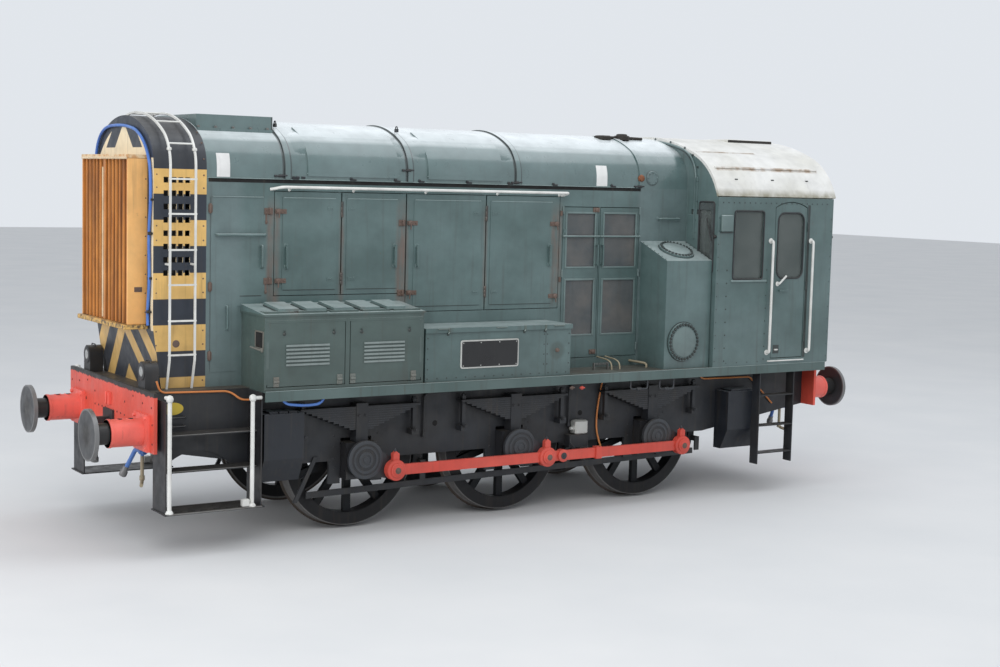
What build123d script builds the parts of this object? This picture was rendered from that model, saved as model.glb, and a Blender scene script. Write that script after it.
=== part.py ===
from build123d import *
import math
import os

# Six-coupled diesel shunting locomotive with outside frames, outside cranks and coupling rods.
# Frame of the model: +X towards the radiator end, +Y towards the left side, +Z up.
# The origin is on the centreline, midway between the buffer faces, at the level of the wheel flange tips.
# All sizes are in millimetres.

# Main sizes
LENGTH_OVER_BUFFERS = 8915.4
WIDTH = 2591.0
HEIGHT_OVER_RAIL = 3877.0
FLANGE_DEPTH = 28.5
TOP_Z = HEIGHT_OVER_RAIL + FLANGE_DEPTH
HALF_WIDTH = WIDTH / 2

# Wheels and axles
WHEEL_DIAMETER = 1372.0
WHEEL_RADIUS = WHEEL_DIAMETER / 2
FLANGE_RADIUS = WHEEL_RADIUS + FLANGE_DEPTH
AXLE_Z = FLANGE_RADIUS
AXLE_SPACING = 1752.6
MIDDLE_AXLE_X = 101.6
AXLE_XS = {
    "front": MIDDLE_AXLE_X + AXLE_SPACING,
    "middle": MIDDLE_AXLE_X,
    "rear": MIDDLE_AXLE_X - AXLE_SPACING,
}
BACK_TO_BACK = 1360.0
TYRE_WIDTH = 140.0
TYRE_AND_RIM_THICKNESS = 126.0
FLANGE_WIDTH = 32.0
TREAD_FALL = 5.0
HUB_RADIUS = 175.0
HUB_LENGTH = 170.0
SPOKE_COUNT = 10
SPOKE_WIDTH = 74.0
SPOKE_THICKNESS = 52.0
WHEEL_INNER_Y = BACK_TO_BACK / 2
WHEEL_OUTER_Y = WHEEL_INNER_Y + TYRE_WIDTH
AXLE_RADIUS = 86.0
PIN_CLEARANCE = 2.0

# Outside cranks and coupling rods
CRANK_THROW = 311.0
CRANK_DROP_ANGLE = 20.5
CRANK_INNER_Y = 1062.0
CRANK_THICKNESS = 88.0
CRANK_OUTER_Y = CRANK_INNER_Y + CRANK_THICKNESS
CRANK_BOSS_RADIUS = 150.0
CRANK_EYE_RADIUS = 92.0
CRANKPIN_RADIUS = 52.0
CRANKPIN_CAP_RADIUS = 66.0
CRANKPIN_CAP_THICKNESS = 12.0
SIDE_CLEARANCE = 8.0
ROD_EYE_THICKNESS = 70.0
ROD_EYE_RADIUS = 100.0
ROD_SHANK_HEIGHT = 100.0
ROD_SHANK_THICKNESS = 36.0
ROD_INNER_Y = CRANK_OUTER_Y + SIDE_CLEARANCE
ROD_OUTER_Y = ROD_INNER_Y + ROD_EYE_THICKNESS
PIN_OUTER_Y = ROD_OUTER_Y + SIDE_CLEARANCE + CRANKPIN_CAP_THICKNESS

# Plate frames
FRAME_INNER_Y = 905.0
FRAME_THICKNESS = 32.0
FRAME_OUTER_Y = FRAME_INNER_Y + FRAME_THICKNESS
FRAME_BOTTOM_Z = AXLE_Z - 24.5

# Buffers and beams
BUFFER_LENGTH = 510.0
BUFFER_Y = 870.0
BUFFER_HEIGHT_OVER_RAIL = 1054.0
BUFFER_Z = BUFFER_HEIGHT_OVER_RAIL + FLANGE_DEPTH
BUFFER_HEAD_RADIUS = 229.0
BUFFER_HEAD_THICKNESS = 38.0
BEAM_THICKNESS = 32.0
BEAM_FACE_X = LENGTH_OVER_BUFFERS / 2 - BUFFER_LENGTH
BEAM_BACK_X = BEAM_FACE_X - BEAM_THICKNESS
BEAM_HALF_WIDTH = 1135.0
BEAM_BOTTOM_Z = BUFFER_Z - 166.5
FRONT_BEAM_RISE = 10.5

# Running plate
PLATE_TOP_Z = 1436.5
PLATE_THICKNESS = 12.0
PLATE_BOTTOM_Z = PLATE_TOP_Z - PLATE_THICKNESS
VALANCE_DEPTH = 94.0
VALANCE_THICKNESS = 15.0
STEP_PLATE_HALF_WIDTH = 950.0

# Bonnet and nose
BONNET_HALF_WIDTH = 760.0
BONNET_SKIN = 20.0
NOSE_SETBACK = 129.7
NOSE_LENGTH = 500.0
NOSE_FOOT_SETBACK = 79.0
NOSE_FACE_X = BEAM_FACE_X - NOSE_SETBACK
NOSE_FOOT_X = NOSE_FACE_X - NOSE_FOOT_SETBACK
BONNET_FRONT_X = NOSE_FACE_X - NOSE_LENGTH
NOSE_SLOPE_Z = 2000.0
ROOF_SPRING_Z = TOP_Z - 485.5
SIDE_TOP_Z = ROOF_SPRING_Z - 89.0
ROOF_SHOULDER_RADIUS = 360.0
ROOF_SHOULDER_TURN = 60.0
ROOF_SKIN = 14.0

# Cab
CAB_LENGTH = 1685.7
CAB_REAR_X = -BEAM_FACE_X
CAB_FRONT_X = CAB_REAR_X + CAB_LENGTH
BONNET_REAR_X = CAB_FRONT_X
CAB_HALF_WIDTH = HALF_WIDTH - 5.5
CAB_WALL = 40.0
CAB_FLOOR_TOP_Z = PLATE_TOP_Z + 64.5
CAB_ROOF_SKIN = 30.0
CAB_ROOF_OVERHANG = 30.0
CAB_CROWN_HALF_ANGLE = 24.0
CAB_SHOULDER_RADIUS = 727.0
CAB_SHOULDER_TURN = 48.0
CAB_EAVE_DROP = 14.0

# Leaves that open
DOOR_THICKNESS = 25.0
DOOR_GAP = 7.0


def box_between(x0, x1, y0, y1, z0, z1, mode=Mode.ADD):
    """A box from its low and high limits, in the part being built."""
    with Locations(((x0 + x1) / 2, (y0 + y1) / 2, (z0 + z1) / 2)):
        Box(abs(x1 - x0), abs(y1 - y0), abs(z1 - z0), mode=mode)


def rod_along(axis, x, y, z, radius, length, mode=Mode.ADD):
    """A cylinder centred at a point, along the named axis."""
    turn = {"x": (0, 90, 0), "y": (90, 0, 0), "z": (0, 0, 0)}[axis]
    with Locations(Location((x, y, z), turn)):
        Cylinder(radius, length, mode=mode)


def bar_along(axis, x, y, z, radius, length):
    """An eight-sided bar centred at a point, along the named axis, in the part being built."""
    direction = {"x": (1, 0, 0), "y": (0, 1, 0), "z": (0, 0, 1)}[axis]
    with BuildSketch(Plane(origin=(x, y, z), z_dir=direction)) as section:
        RegularPolygon(radius, 8)
    extrude(section.sketch, amount=length / 2, both=True)


def rounded_window(low, high, corner, mode=Mode.ADD):
    """A rounded rectangle from its low and high corners, in the sketch being built."""
    with Locations(((low[0] + high[0]) / 2, (low[1] + high[1]) / 2)):
        RectangleRounded(high[0] - low[0], high[1] - low[1], corner, mode=mode)


def side_plane(y):
    """The plane at one Y, drawn in X and Z, facing -Y."""
    return Plane(origin=(0, y, 0), x_dir=(1, 0, 0), z_dir=(0, -1, 0))


def cross_plane(x):
    """The plane at one X, drawn in Y and Z, facing +X."""
    return Plane(origin=(x, 0, 0), x_dir=(0, 1, 0), z_dir=(1, 0, 0))


def finish(part, label):
    """Names one piece and writes it."""
    part.label = label
    export_step(part, f"parts/{label}.step")


def finish_set(parts, label):
    """Names a set of bolted or welded pieces, kept as separate solids, and writes it."""
    finish(Compound([solid for part in parts for solid in part.solids()]), label)


os.makedirs("parts", exist_ok=True)


# Wheelsets: two spoked wheels and an axle with outside cranks, set a quarter turn apart
RIM_INNER_RADIUS = WHEEL_RADIUS - TYRE_AND_RIM_THICKNESS
CRANK_ANGLES = {"left": 180 + CRANK_DROP_ANGLE, "right": 90 + CRANK_DROP_ANGLE}


def crankpin_offset(side):
    """Where the crankpin of one side stands from its axle, in X and Z."""
    angle = math.radians(CRANK_ANGLES[side])
    return CRANK_THROW * math.cos(angle), CRANK_THROW * math.sin(angle)


def wheel_pair(axle_x):
    wheel_y = WHEEL_INNER_Y + TYRE_WIDTH / 2
    with BuildPart() as pair:
        with BuildSketch(cross_plane(axle_x)):
            with BuildLine():
                Polyline(
                    (WHEEL_INNER_Y, AXLE_Z + RIM_INNER_RADIUS),
                    (WHEEL_INNER_Y, AXLE_Z + FLANGE_RADIUS),
                    (WHEEL_INNER_Y + FLANGE_WIDTH, AXLE_Z + WHEEL_RADIUS),
                    (WHEEL_OUTER_Y, AXLE_Z + WHEEL_RADIUS - TREAD_FALL),
                    (WHEEL_OUTER_Y, AXLE_Z + RIM_INNER_RADIUS),
                    close=True,
                )
            make_face()
        revolve(axis=Axis((axle_x, 0, AXLE_Z), (0, 1, 0)))
        spoke_turns = [
            Location((axle_x, wheel_y, AXLE_Z), (0, spoke * 360 / SPOKE_COUNT, 0))
            for spoke in range(SPOKE_COUNT)
        ]
        spoke_length = RIM_INNER_RADIUS + TYRE_AND_RIM_THICKNESS / 3
        with Locations(*spoke_turns):
            Box(SPOKE_WIDTH, SPOKE_THICKNESS, spoke_length, align=(Align.CENTER, Align.CENTER, Align.MIN))
        rod_along("y", axle_x, wheel_y, AXLE_Z, HUB_RADIUS, HUB_LENGTH)
        rod_along("y", axle_x, wheel_y, AXLE_Z, AXLE_RADIUS, HUB_LENGTH + 2, mode=Mode.SUBTRACT)
        mirror(about=Plane.XZ)
    return pair.part


def cranked_axle(axle_x):
    with BuildPart() as axle:
        rod_along("y", axle_x, 0, AXLE_Z, AXLE_RADIUS, 2 * CRANK_OUTER_Y)
        for side, sign in (("left", 1), ("right", -1)):
            dx, dz = crankpin_offset(side)
            with BuildSketch(side_plane(sign * CRANK_OUTER_Y)):
                with Locations((axle_x, AXLE_Z)):
                    Circle(CRANK_BOSS_RADIUS)
                with Locations((axle_x + dx, AXLE_Z + dz)):
                    Circle(CRANK_EYE_RADIUS)
                make_hull()
            extrude(amount=sign * CRANK_THICKNESS)
            pin_length = PIN_OUTER_Y - CRANK_OUTER_Y
            pin_y = sign * (CRANK_OUTER_Y + pin_length / 2)
            rod_along("y", axle_x + dx, pin_y, AXLE_Z + dz, CRANKPIN_RADIUS, pin_length)
            cap_y = sign * (PIN_OUTER_Y - CRANKPIN_CAP_THICKNESS / 2)
            rod_along("y", axle_x + dx, cap_y, AXLE_Z + dz, CRANKPIN_CAP_RADIUS, CRANKPIN_CAP_THICKNESS)
    return axle.part


for place, axle_x in AXLE_XS.items():
    finish(wheel_pair(axle_x), f"wheels_{place}")
    finish(cranked_axle(axle_x), f"axle_{place}")


# Coupling rods: three eyes with oil cups, a thinner shank between them, the knuckle and the splice
KNUCKLE_OFFSET = 190.0
KNUCKLE_RADIUS = 62.0
SPLICE_OFFSET = 640.0
SPLICE_LENGTH = 70.0
SPLICE_HEIGHT = 124.0
OIL_CUP_WIDTH = 66.0
OIL_CUP_HEIGHT = 82.0
OIL_CUP_TIP = 24.0
OIL_CUP_THICKNESS = 50.0


def coupling_rod(side, sign):
    dx, dz = crankpin_offset(side)
    rod_z = AXLE_Z + dz
    eye_y = sign * (ROD_INNER_Y + ROD_EYE_THICKNESS / 2)
    eye_xs = [axle_x + dx for axle_x in AXLE_XS.values()]
    middle_x = AXLE_XS["middle"] + dx
    with BuildPart() as rod:
        with Locations(((max(eye_xs) + min(eye_xs)) / 2, eye_y, rod_z)):
            Box(max(eye_xs) - min(eye_xs), ROD_SHANK_THICKNESS, ROD_SHANK_HEIGHT)
        with BuildSketch(side_plane(eye_y + OIL_CUP_THICKNESS / 2)):
            for eye_x in eye_xs:
                cup_top_z = rod_z + ROD_EYE_RADIUS + OIL_CUP_HEIGHT
                with BuildLine():
                    Polyline(
                        (eye_x - OIL_CUP_WIDTH / 2, rod_z),
                        (eye_x - OIL_CUP_WIDTH / 2, cup_top_z - OIL_CUP_TIP),
                        (eye_x, cup_top_z),
                        (eye_x + OIL_CUP_WIDTH / 2, cup_top_z - OIL_CUP_TIP),
                        (eye_x + OIL_CUP_WIDTH / 2, rod_z),
                        close=True,
                    )
                make_face()
        extrude(amount=OIL_CUP_THICKNESS)
        for eye_x in eye_xs:
            rod_along("y", eye_x, eye_y, rod_z, ROD_EYE_RADIUS, ROD_EYE_THICKNESS)
        rod_along("y", middle_x - KNUCKLE_OFFSET, eye_y, rod_z, KNUCKLE_RADIUS, ROD_EYE_THICKNESS)
        with Locations((middle_x - SPLICE_OFFSET, eye_y, rod_z)):
            Box(SPLICE_LENGTH, ROD_EYE_THICKNESS, SPLICE_HEIGHT)
        for eye_x in eye_xs:
            hole_radius = CRANKPIN_RADIUS + PIN_CLEARANCE
            rod_along("y", eye_x, eye_y, rod_z, hole_radius, ROD_EYE_THICKNESS + 2, mode=Mode.SUBTRACT)
    return rod.part


finish(coupling_rod("left", 1), "rod_left")
finish(coupling_rod("right", -1), "rod_right")


# Main frame: two plates with horn gaps, joined by stretchers between the axles and behind the beams
HORN_BOTTOM_Z = AXLE_Z - 244.5
HORN_TOP_Z = AXLE_Z + 190.5
HORN_HALF_GAP = 165.0
HORN_LEG_WIDTH = 120.0
FRAME_SLOPE_START = 800.0
STRETCHER_THICKNESS = 25.0
STRETCHER_TOP_GAP = 24.5
STRETCHERS = [
    # x centre, bottom z
    (BEAM_BACK_X - 615.0, BEAM_BOTTOM_Z),
    (AXLE_XS["front"] + 846.0, FRAME_BOTTOM_Z + 110),
    (AXLE_XS["front"] - AXLE_SPACING / 2, FRAME_BOTTOM_Z + 70),
    (AXLE_XS["rear"] + AXLE_SPACING / 2, FRAME_BOTTOM_Z + 70),
    (AXLE_XS["rear"] - 849.0, FRAME_BOTTOM_Z + 110),
    (515.0 - BEAM_BACK_X, BEAM_BOTTOM_Z),
]

with BuildPart() as frame_plates:
    with BuildSketch(side_plane(FRAME_OUTER_Y)):
        with BuildLine():
            Polyline(
                (-BEAM_BACK_X, PLATE_BOTTOM_Z),
                (-BEAM_BACK_X, BEAM_BOTTOM_Z),
                (AXLE_XS["rear"] - FRAME_SLOPE_START, FRAME_BOTTOM_Z),
                (AXLE_XS["front"] + FRAME_SLOPE_START, FRAME_BOTTOM_Z),
                (BEAM_BACK_X, BEAM_BOTTOM_Z),
                (BEAM_BACK_X, PLATE_BOTTOM_Z),
                close=True,
            )
        make_face()
        for axle_x in AXLE_XS.values():
            leg_top = (HORN_TOP_Z + PLATE_BOTTOM_Z) / 2
            with Locations((axle_x, (HORN_BOTTOM_Z + leg_top) / 2)):
                Rectangle(2 * (HORN_HALF_GAP + HORN_LEG_WIDTH), leg_top - HORN_BOTTOM_Z)
            with Locations((axle_x, (HORN_BOTTOM_Z + HORN_TOP_Z) / 2)):
                Rectangle(2 * HORN_HALF_GAP, HORN_TOP_Z - HORN_BOTTOM_Z, mode=Mode.SUBTRACT)
    extrude(amount=FRAME_THICKNESS)
    mirror(about=Plane.XZ)

with BuildPart() as stretchers:
    for stretcher_x, bottom_z in STRETCHERS:
        box_between(
            stretcher_x - STRETCHER_THICKNESS / 2,
            stretcher_x + STRETCHER_THICKNESS / 2,
            -FRAME_INNER_Y,
            FRAME_INNER_Y,
            bottom_z,
            PLATE_BOTTOM_Z - STRETCHER_TOP_GAP,
        )
finish_set([frame_plates.part, stretchers.part], "main_frame")


# Axleboxes in the horn gaps, and leaf springs above them with their hangers
AXLEBOX_HALF_WIDTH = HORN_HALF_GAP - 3.0
AXLEBOX_TOP_Z = HORN_TOP_Z - 35.0
AXLEBOX_BOTTOM_Z = HORN_BOTTOM_Z + 50.0
AXLEBOX_INNER_Y = 880.0
AXLEBOX_OUTER_Y = CRANK_INNER_Y - SIDE_CLEARANCE
SPRING_LEAVES = 10
SPRING_LEAF_THICKNESS = 22.0
SPRING_WIDTH = 110.0
SPRING_HALF_LENGTH = 640.0
SPRING_TIP_HALF_LENGTH = 130.0
SPRING_TOP_Z = AXLE_Z + 500.5
SPRING_Y = FRAME_OUTER_Y + 8 + SPRING_WIDTH / 2
BUCKLE_WIDTH = 125.0
BUCKLE_RISE = 30.0
HANGER_WIDTH = 40.0
HANGER_INSET = 45.0
HANGER_RISE = 40.0
HANGER_BOTTOM_Z = SPRING_TOP_Z - 310.0
HANGER_FOOT_HEIGHT = 50.0

with BuildPart() as axleboxes:
    box_y = (AXLEBOX_INNER_Y + AXLEBOX_OUTER_Y) / 2
    for axle_x in AXLE_XS.values():
        box_between(
            axle_x - AXLEBOX_HALF_WIDTH,
            axle_x + AXLEBOX_HALF_WIDTH,
            AXLEBOX_INNER_Y,
            AXLEBOX_OUTER_Y,
            AXLEBOX_BOTTOM_Z,
            AXLEBOX_TOP_Z,
        )
        bore_radius = AXLE_RADIUS + PIN_CLEARANCE
        rod_along("y", axle_x, box_y, AXLE_Z, bore_radius, AXLEBOX_OUTER_Y, mode=Mode.SUBTRACT)
    mirror(about=Plane.XZ)
finish(axleboxes.part, "axleboxes")


def spring_side(axle_x):
    """The stepped outline of one spring, from the tip of the shortest leaf up to the top leaf."""
    points = []
    for leaf in range(SPRING_LEAVES):
        share = leaf / (SPRING_LEAVES - 1)
        half_length = SPRING_HALF_LENGTH + (SPRING_TIP_HALF_LENGTH - SPRING_HALF_LENGTH) * share
        leaf_top_z = SPRING_TOP_Z - leaf * SPRING_LEAF_THICKNESS
        points.append((half_length, leaf_top_z))
        points.append((half_length, leaf_top_z - SPRING_LEAF_THICKNESS))
    right = [(axle_x + half, z) for half, z in points]
    left = [(axle_x - half, z) for half, z in reversed(points)]
    return right + left


with BuildPart() as leaf_springs:
    with BuildSketch(side_plane(SPRING_Y + SPRING_WIDTH / 2)):
        for axle_x in AXLE_XS.values():
            with BuildLine():
                Polyline(*spring_side(axle_x), close=True)
            make_face()
    extrude(amount=SPRING_WIDTH)
    for axle_x in AXLE_XS.values():
        box_between(
            axle_x - BUCKLE_WIDTH / 2,
            axle_x + BUCKLE_WIDTH / 2,
            SPRING_Y - SPRING_WIDTH / 2 - 6,
            SPRING_Y + SPRING_WIDTH / 2 + 6,
            AXLEBOX_TOP_Z,
            SPRING_TOP_Z + BUCKLE_RISE,
        )
        for sign in (1, -1):
            hanger_x = axle_x + sign * (SPRING_HALF_LENGTH - HANGER_INSET)
            box_between(
                hanger_x - HANGER_WIDTH / 2,
                hanger_x + HANGER_WIDTH / 2,
                SPRING_Y - HANGER_WIDTH / 2,
                SPRING_Y + HANGER_WIDTH / 2,
                HANGER_BOTTOM_Z,
                SPRING_TOP_Z + HANGER_RISE,
            )
            box_between(
                hanger_x - HANGER_WIDTH,
                hanger_x + HANGER_WIDTH,
                FRAME_OUTER_Y,
                SPRING_Y + HANGER_WIDTH,
                HANGER_BOTTOM_Z,
                HANGER_BOTTOM_Z + HANGER_FOOT_HEIGHT,
            )
    mirror(about=Plane.XZ)
finish(leaf_springs.part, "leaf_springs")


# Buffer beams, buffer housings and heads
with BuildPart() as buffer_beams:
    for end, beam_top_z in ((1, PLATE_TOP_Z + FRONT_BEAM_RISE), (-1, PLATE_TOP_Z)):
        box_between(
            end * BEAM_BACK_X, end * BEAM_FACE_X, -BEAM_HALF_WIDTH, BEAM_HALF_WIDTH, BEAM_BOTTOM_Z, beam_top_z
        )
finish(buffer_beams.part, "buffer_beams")

HOUSING_FLANGE = 330.0
HOUSING_FLANGE_THICKNESS = 28.0
HOUSING_LENGTH = 330.0
HOUSING_RADIUS = 124.0
SHANK_RADIUS = 96.0

with BuildPart() as buffer_housings:
    for end in (1, -1):
        for side in (1, -1):
            with Locations((end * (BEAM_FACE_X + HOUSING_FLANGE_THICKNESS / 2), side * BUFFER_Y, BUFFER_Z)):
                Box(HOUSING_FLANGE_THICKNESS, HOUSING_FLANGE, HOUSING_FLANGE)
            body_x = end * (BEAM_FACE_X + HOUSING_LENGTH / 2)
            rod_along("x", body_x, side * BUFFER_Y, BUFFER_Z, HOUSING_RADIUS, HOUSING_LENGTH)
finish(buffer_housings.part, "buffer_housings")

with BuildPart() as buffer_heads:
    shank_length = BUFFER_LENGTH - HOUSING_LENGTH - BUFFER_HEAD_THICKNESS
    for end in (1, -1):
        for side in (1, -1):
            shank_x = end * (BEAM_FACE_X + HOUSING_LENGTH + shank_length / 2)
            rod_along("x", shank_x, side * BUFFER_Y, BUFFER_Z, SHANK_RADIUS, shank_length)
            head_x = end * (LENGTH_OVER_BUFFERS / 2 - BUFFER_HEAD_THICKNESS / 2)
            rod_along("x", head_x, side * BUFFER_Y, BUFFER_Z, BUFFER_HEAD_RADIUS, BUFFER_HEAD_THICKNESS)
finish(buffer_heads.part, "buffer_heads")


# Drawgear: a hook through each beam, on its plate
HOOK_Z = BUFFER_Z - 20
HOOK_THICKNESS = 60.0
HOOK_PLATE_THICKNESS = 20.0
HOOK_PLATE_WIDTH = 260.0
HOOK_PLATE_HEIGHT = 220.0
HOOK_OUTLINE = [
    # reach from the plate, height over the hook's centre
    (0, -40),
    (0, 40),
    (130, 40),
    (150, 5),
    (205, 5),
    (195, 70),
    (242, 70),
    (272, -10),
    (220, -75),
    (110, -75),
]

with BuildPart() as drawgear:
    plate_x = BEAM_FACE_X + HOOK_PLATE_THICKNESS
    for end in (1, -1):
        with Locations((end * (BEAM_FACE_X + HOOK_PLATE_THICKNESS / 2), 0, HOOK_Z)):
            Box(HOOK_PLATE_THICKNESS, HOOK_PLATE_WIDTH, HOOK_PLATE_HEIGHT)
        hook_points = [(end * (plate_x + reach), HOOK_Z + rise) for reach, rise in HOOK_OUTLINE]
        with BuildSketch(side_plane(HOOK_THICKNESS / 2)):
            with BuildLine():
                Polyline(*hook_points, close=True)
            make_face()
        extrude(amount=HOOK_THICKNESS)
finish(drawgear.part, "drawgear")


# Steps: a recessed bay of treads at the front, open ladders of treads under the cab doors
STEP_PLATE = 12.0
SANDBOX_FRONT_X = AXLE_XS["front"] + 1054.8
FRONT_STEP_REAR_X = SANDBOX_FRONT_X + 57.0
FRONT_STEP_FRONT_X = BEAM_FACE_X - 67.7
FRONT_TREAD_Z = [1073.0, 750.0]
BOTTOM_TREAD_Z = 398.0
BOTTOM_TREAD_OUTER_Y = HALF_WIDTH - 20.5
FRONT_TREAD_OUTER_Y = HALF_WIDTH - 135.5
FRONT_SIDE_OUTER_Y = HALF_WIDTH - 55.5
FRONT_SIDE_TOP_GAP = 39.5
STEP_BACK_Y = FRAME_OUTER_Y + STEP_PLATE
STEP_ARCH_HEIGHT = 138.0
STEP_ARCH_INSET = 175.0
BOTTOM_TREAD_LIP = 15.0
REAR_STEP_FRONT_X = CAB_REAR_X + 987.7
REAR_STEP_REAR_X = CAB_REAR_X + 487.7
REAR_TREAD_Z = [1095.0, 760.0, 455.0]
REAR_STRINGER_DEPTH = 120.0
REAR_STRINGER_BOTTOM_Z = 330.0
REAR_STEP_OUTER_Y = HALF_WIDTH - 15.0
FRONT_STEP_TOP_Z = PLATE_BOTTOM_Z - FRONT_SIDE_TOP_GAP
VALANCE_FRONT_X = FRONT_STEP_REAR_X - 5.0

tread_rear_x = FRONT_STEP_REAR_X + STEP_PLATE
tread_front_x = FRONT_STEP_FRONT_X - STEP_PLATE
with BuildPart() as step_sides:
    for x, top_z in ((FRONT_STEP_REAR_X, PLATE_BOTTOM_Z), (tread_front_x, FRONT_STEP_TOP_Z)):
        box_between(x, x + STEP_PLATE, FRAME_OUTER_Y, FRONT_SIDE_OUTER_Y, BOTTOM_TREAD_Z, top_z)
    for x in (REAR_STEP_FRONT_X, REAR_STEP_REAR_X):
        box_between(
            x - STEP_PLATE,
            x,
            REAR_STEP_OUTER_Y - REAR_STRINGER_DEPTH,
            REAR_STEP_OUTER_Y,
            REAR_STRINGER_BOTTOM_Z,
            PLATE_BOTTOM_Z,
        )
    mirror(about=Plane.XZ)

with BuildPart() as step_treads:
    for tread_z in FRONT_TREAD_Z:
        box_between(
            tread_rear_x, tread_front_x, STEP_BACK_Y, FRONT_TREAD_OUTER_Y, tread_z - STEP_PLATE, tread_z
        )
    box_between(
        FRONT_STEP_REAR_X - BOTTOM_TREAD_LIP,
        FRONT_STEP_FRONT_X + BOTTOM_TREAD_LIP,
        FRAME_OUTER_Y,
        BOTTOM_TREAD_OUTER_Y,
        BOTTOM_TREAD_Z - STEP_PLATE,
        BOTTOM_TREAD_Z,
    )
    for tread_z in REAR_TREAD_Z:
        box_between(
            REAR_STEP_REAR_X,
            REAR_STEP_FRONT_X - STEP_PLATE,
            REAR_STEP_OUTER_Y - REAR_STRINGER_DEPTH,
            REAR_STEP_OUTER_Y,
            tread_z - STEP_PLATE,
            tread_z,
        )
    mirror(about=Plane.XZ)

with BuildPart() as step_backs:
    arch_bottom_z = FRONT_TREAD_Z[1]
    with BuildSketch(side_plane(STEP_BACK_Y)):
        with BuildLine():
            Polyline(
                (tread_front_x - STEP_ARCH_INSET / 2, arch_bottom_z),
                (tread_front_x, arch_bottom_z),
                (tread_front_x, PLATE_BOTTOM_Z),
                (tread_rear_x, PLATE_BOTTOM_Z),
                (tread_rear_x, arch_bottom_z),
                (tread_rear_x + STEP_ARCH_INSET, arch_bottom_z),
            )
            ThreePointArc(
                (tread_rear_x + STEP_ARCH_INSET, arch_bottom_z),
                ((tread_rear_x + tread_front_x) / 2 + STEP_ARCH_INSET / 4, arch_bottom_z + STEP_ARCH_HEIGHT),
                (tread_front_x - STEP_ARCH_INSET / 2, arch_bottom_z),
            )
        make_face()
    extrude(amount=STEP_PLATE)
    mirror(about=Plane.XZ)
finish_set([step_sides.part, step_treads.part, step_backs.part], "steps")


# Running plate with its valances and the openings over the wheel flanges
FLANGE_OPENING_SPARE = 150.0
FLANGE_SIDE_SPARE = 20.0

with BuildPart() as running_plate:
    box_between(-BEAM_BACK_X, VALANCE_FRONT_X, -HALF_WIDTH, HALF_WIDTH, PLATE_BOTTOM_Z, PLATE_TOP_Z)
    box_between(
        VALANCE_FRONT_X,
        BEAM_BACK_X,
        -STEP_PLATE_HALF_WIDTH,
        STEP_PLATE_HALF_WIDTH,
        PLATE_BOTTOM_Z,
        PLATE_TOP_Z,
    )
    reach_through = math.sqrt(max(FLANGE_RADIUS**2 - (PLATE_BOTTOM_Z - AXLE_Z) ** 2, 0))
    half_opening = reach_through + FLANGE_OPENING_SPARE
    for side in (1, -1):
        box_between(
            -BEAM_BACK_X,
            VALANCE_FRONT_X,
            side * (HALF_WIDTH - VALANCE_THICKNESS),
            side * HALF_WIDTH,
            PLATE_TOP_Z - VALANCE_DEPTH,
            PLATE_BOTTOM_Z,
        )
        for axle_x in AXLE_XS.values():
            box_between(
                axle_x - half_opening,
                axle_x + half_opening,
                side * (WHEEL_INNER_Y - FLANGE_SIDE_SPARE),
                side * (WHEEL_INNER_Y + FLANGE_WIDTH + FLANGE_SIDE_SPARE),
                PLATE_BOTTOM_Z - 1,
                PLATE_TOP_Z + 1,
                mode=Mode.SUBTRACT,
            )
finish(running_plate.part, "running_plate")


# Sandboxes: tapered hoppers outside the frame, ahead of the front wheels and behind the rear ones
SANDBOX_OUTER_Y = FRONT_TREAD_OUTER_Y
SANDBOX_HEIGHT = 640.0
SANDBOX_TAPER_START = 420.0
SANDBOX_LID_INSET = 60.0
SANDBOX_LID_RISE = 18.0
SANDBOX_LID_GAP = 12.0
SANDBOXES = [
    # front x, rear x, top z, how many lids
    (SANDBOX_FRONT_X, SANDBOX_FRONT_X - 399.0, 1207.0, 3),
    (AXLE_XS["rear"] - 968.0, AXLE_XS["rear"] - 1424.0, 1136.0, 1),
]

with BuildPart() as sandboxes:
    for front_x, rear_x, top_z, lid_count in SANDBOXES:
        with BuildSketch(cross_plane(rear_x)):
            with BuildLine():
                Polyline(
                    (FRAME_OUTER_Y, top_z),
                    (SANDBOX_OUTER_Y, top_z),
                    (SANDBOX_OUTER_Y, top_z - SANDBOX_TAPER_START),
                    ((FRAME_OUTER_Y + SANDBOX_OUTER_Y) / 2, top_z - SANDBOX_HEIGHT),
                    (FRAME_OUTER_Y, top_z - SANDBOX_HEIGHT),
                    close=True,
                )
            make_face()
        extrude(amount=front_x - rear_x)
        lid_pitch = (front_x - rear_x - 2 * SANDBOX_LID_INSET + SANDBOX_LID_GAP) / lid_count
        for lid in range(lid_count):
            lid_rear_x = rear_x + SANDBOX_LID_INSET + lid * lid_pitch
            box_between(
                lid_rear_x,
                lid_rear_x + lid_pitch - SANDBOX_LID_GAP,
                FRAME_OUTER_Y + 30,
                SANDBOX_OUTER_Y - 20,
                top_z,
                top_z + SANDBOX_LID_RISE,
            )
    mirror(about=Plane.XZ)
finish(sandboxes.part, "sandboxes")


# Brake gear: blocks and hangers behind each wheel, cross beams, the long pull rods and the guard irons
BRAKE_GAP = 10.0
BRAKE_BLOCK_DEPTH = 60.0
BRAKE_BLOCK_WIDTH = 70.0
BRAKE_BLOCK_HEIGHT = 360.0
BRAKE_BLOCK_DROP = 60.0
BRAKE_HANGER_WIDTH = 60.0
BRAKE_HANGER_THICKNESS = 40.0
BRAKE_BEAM_SIZE = 50.0
BRAKE_REACH = FLANGE_RADIUS + BRAKE_GAP
BRAKE_Y = WHEEL_INNER_Y + 80.0
BRAKE_BEAM_Z = AXLE_Z - 124.5
PULL_ROD_Y = (856.0, 874.0)
PULL_ROD_HEIGHT = 60.0
PULL_ROD_FRONT_X = AXLE_XS["front"] + 489.0
PULL_ROD_REAR_X = AXLE_XS["rear"] - BRAKE_REACH
PULL_ROD_FRONT_Z = AXLE_Z - 350.0
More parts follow.
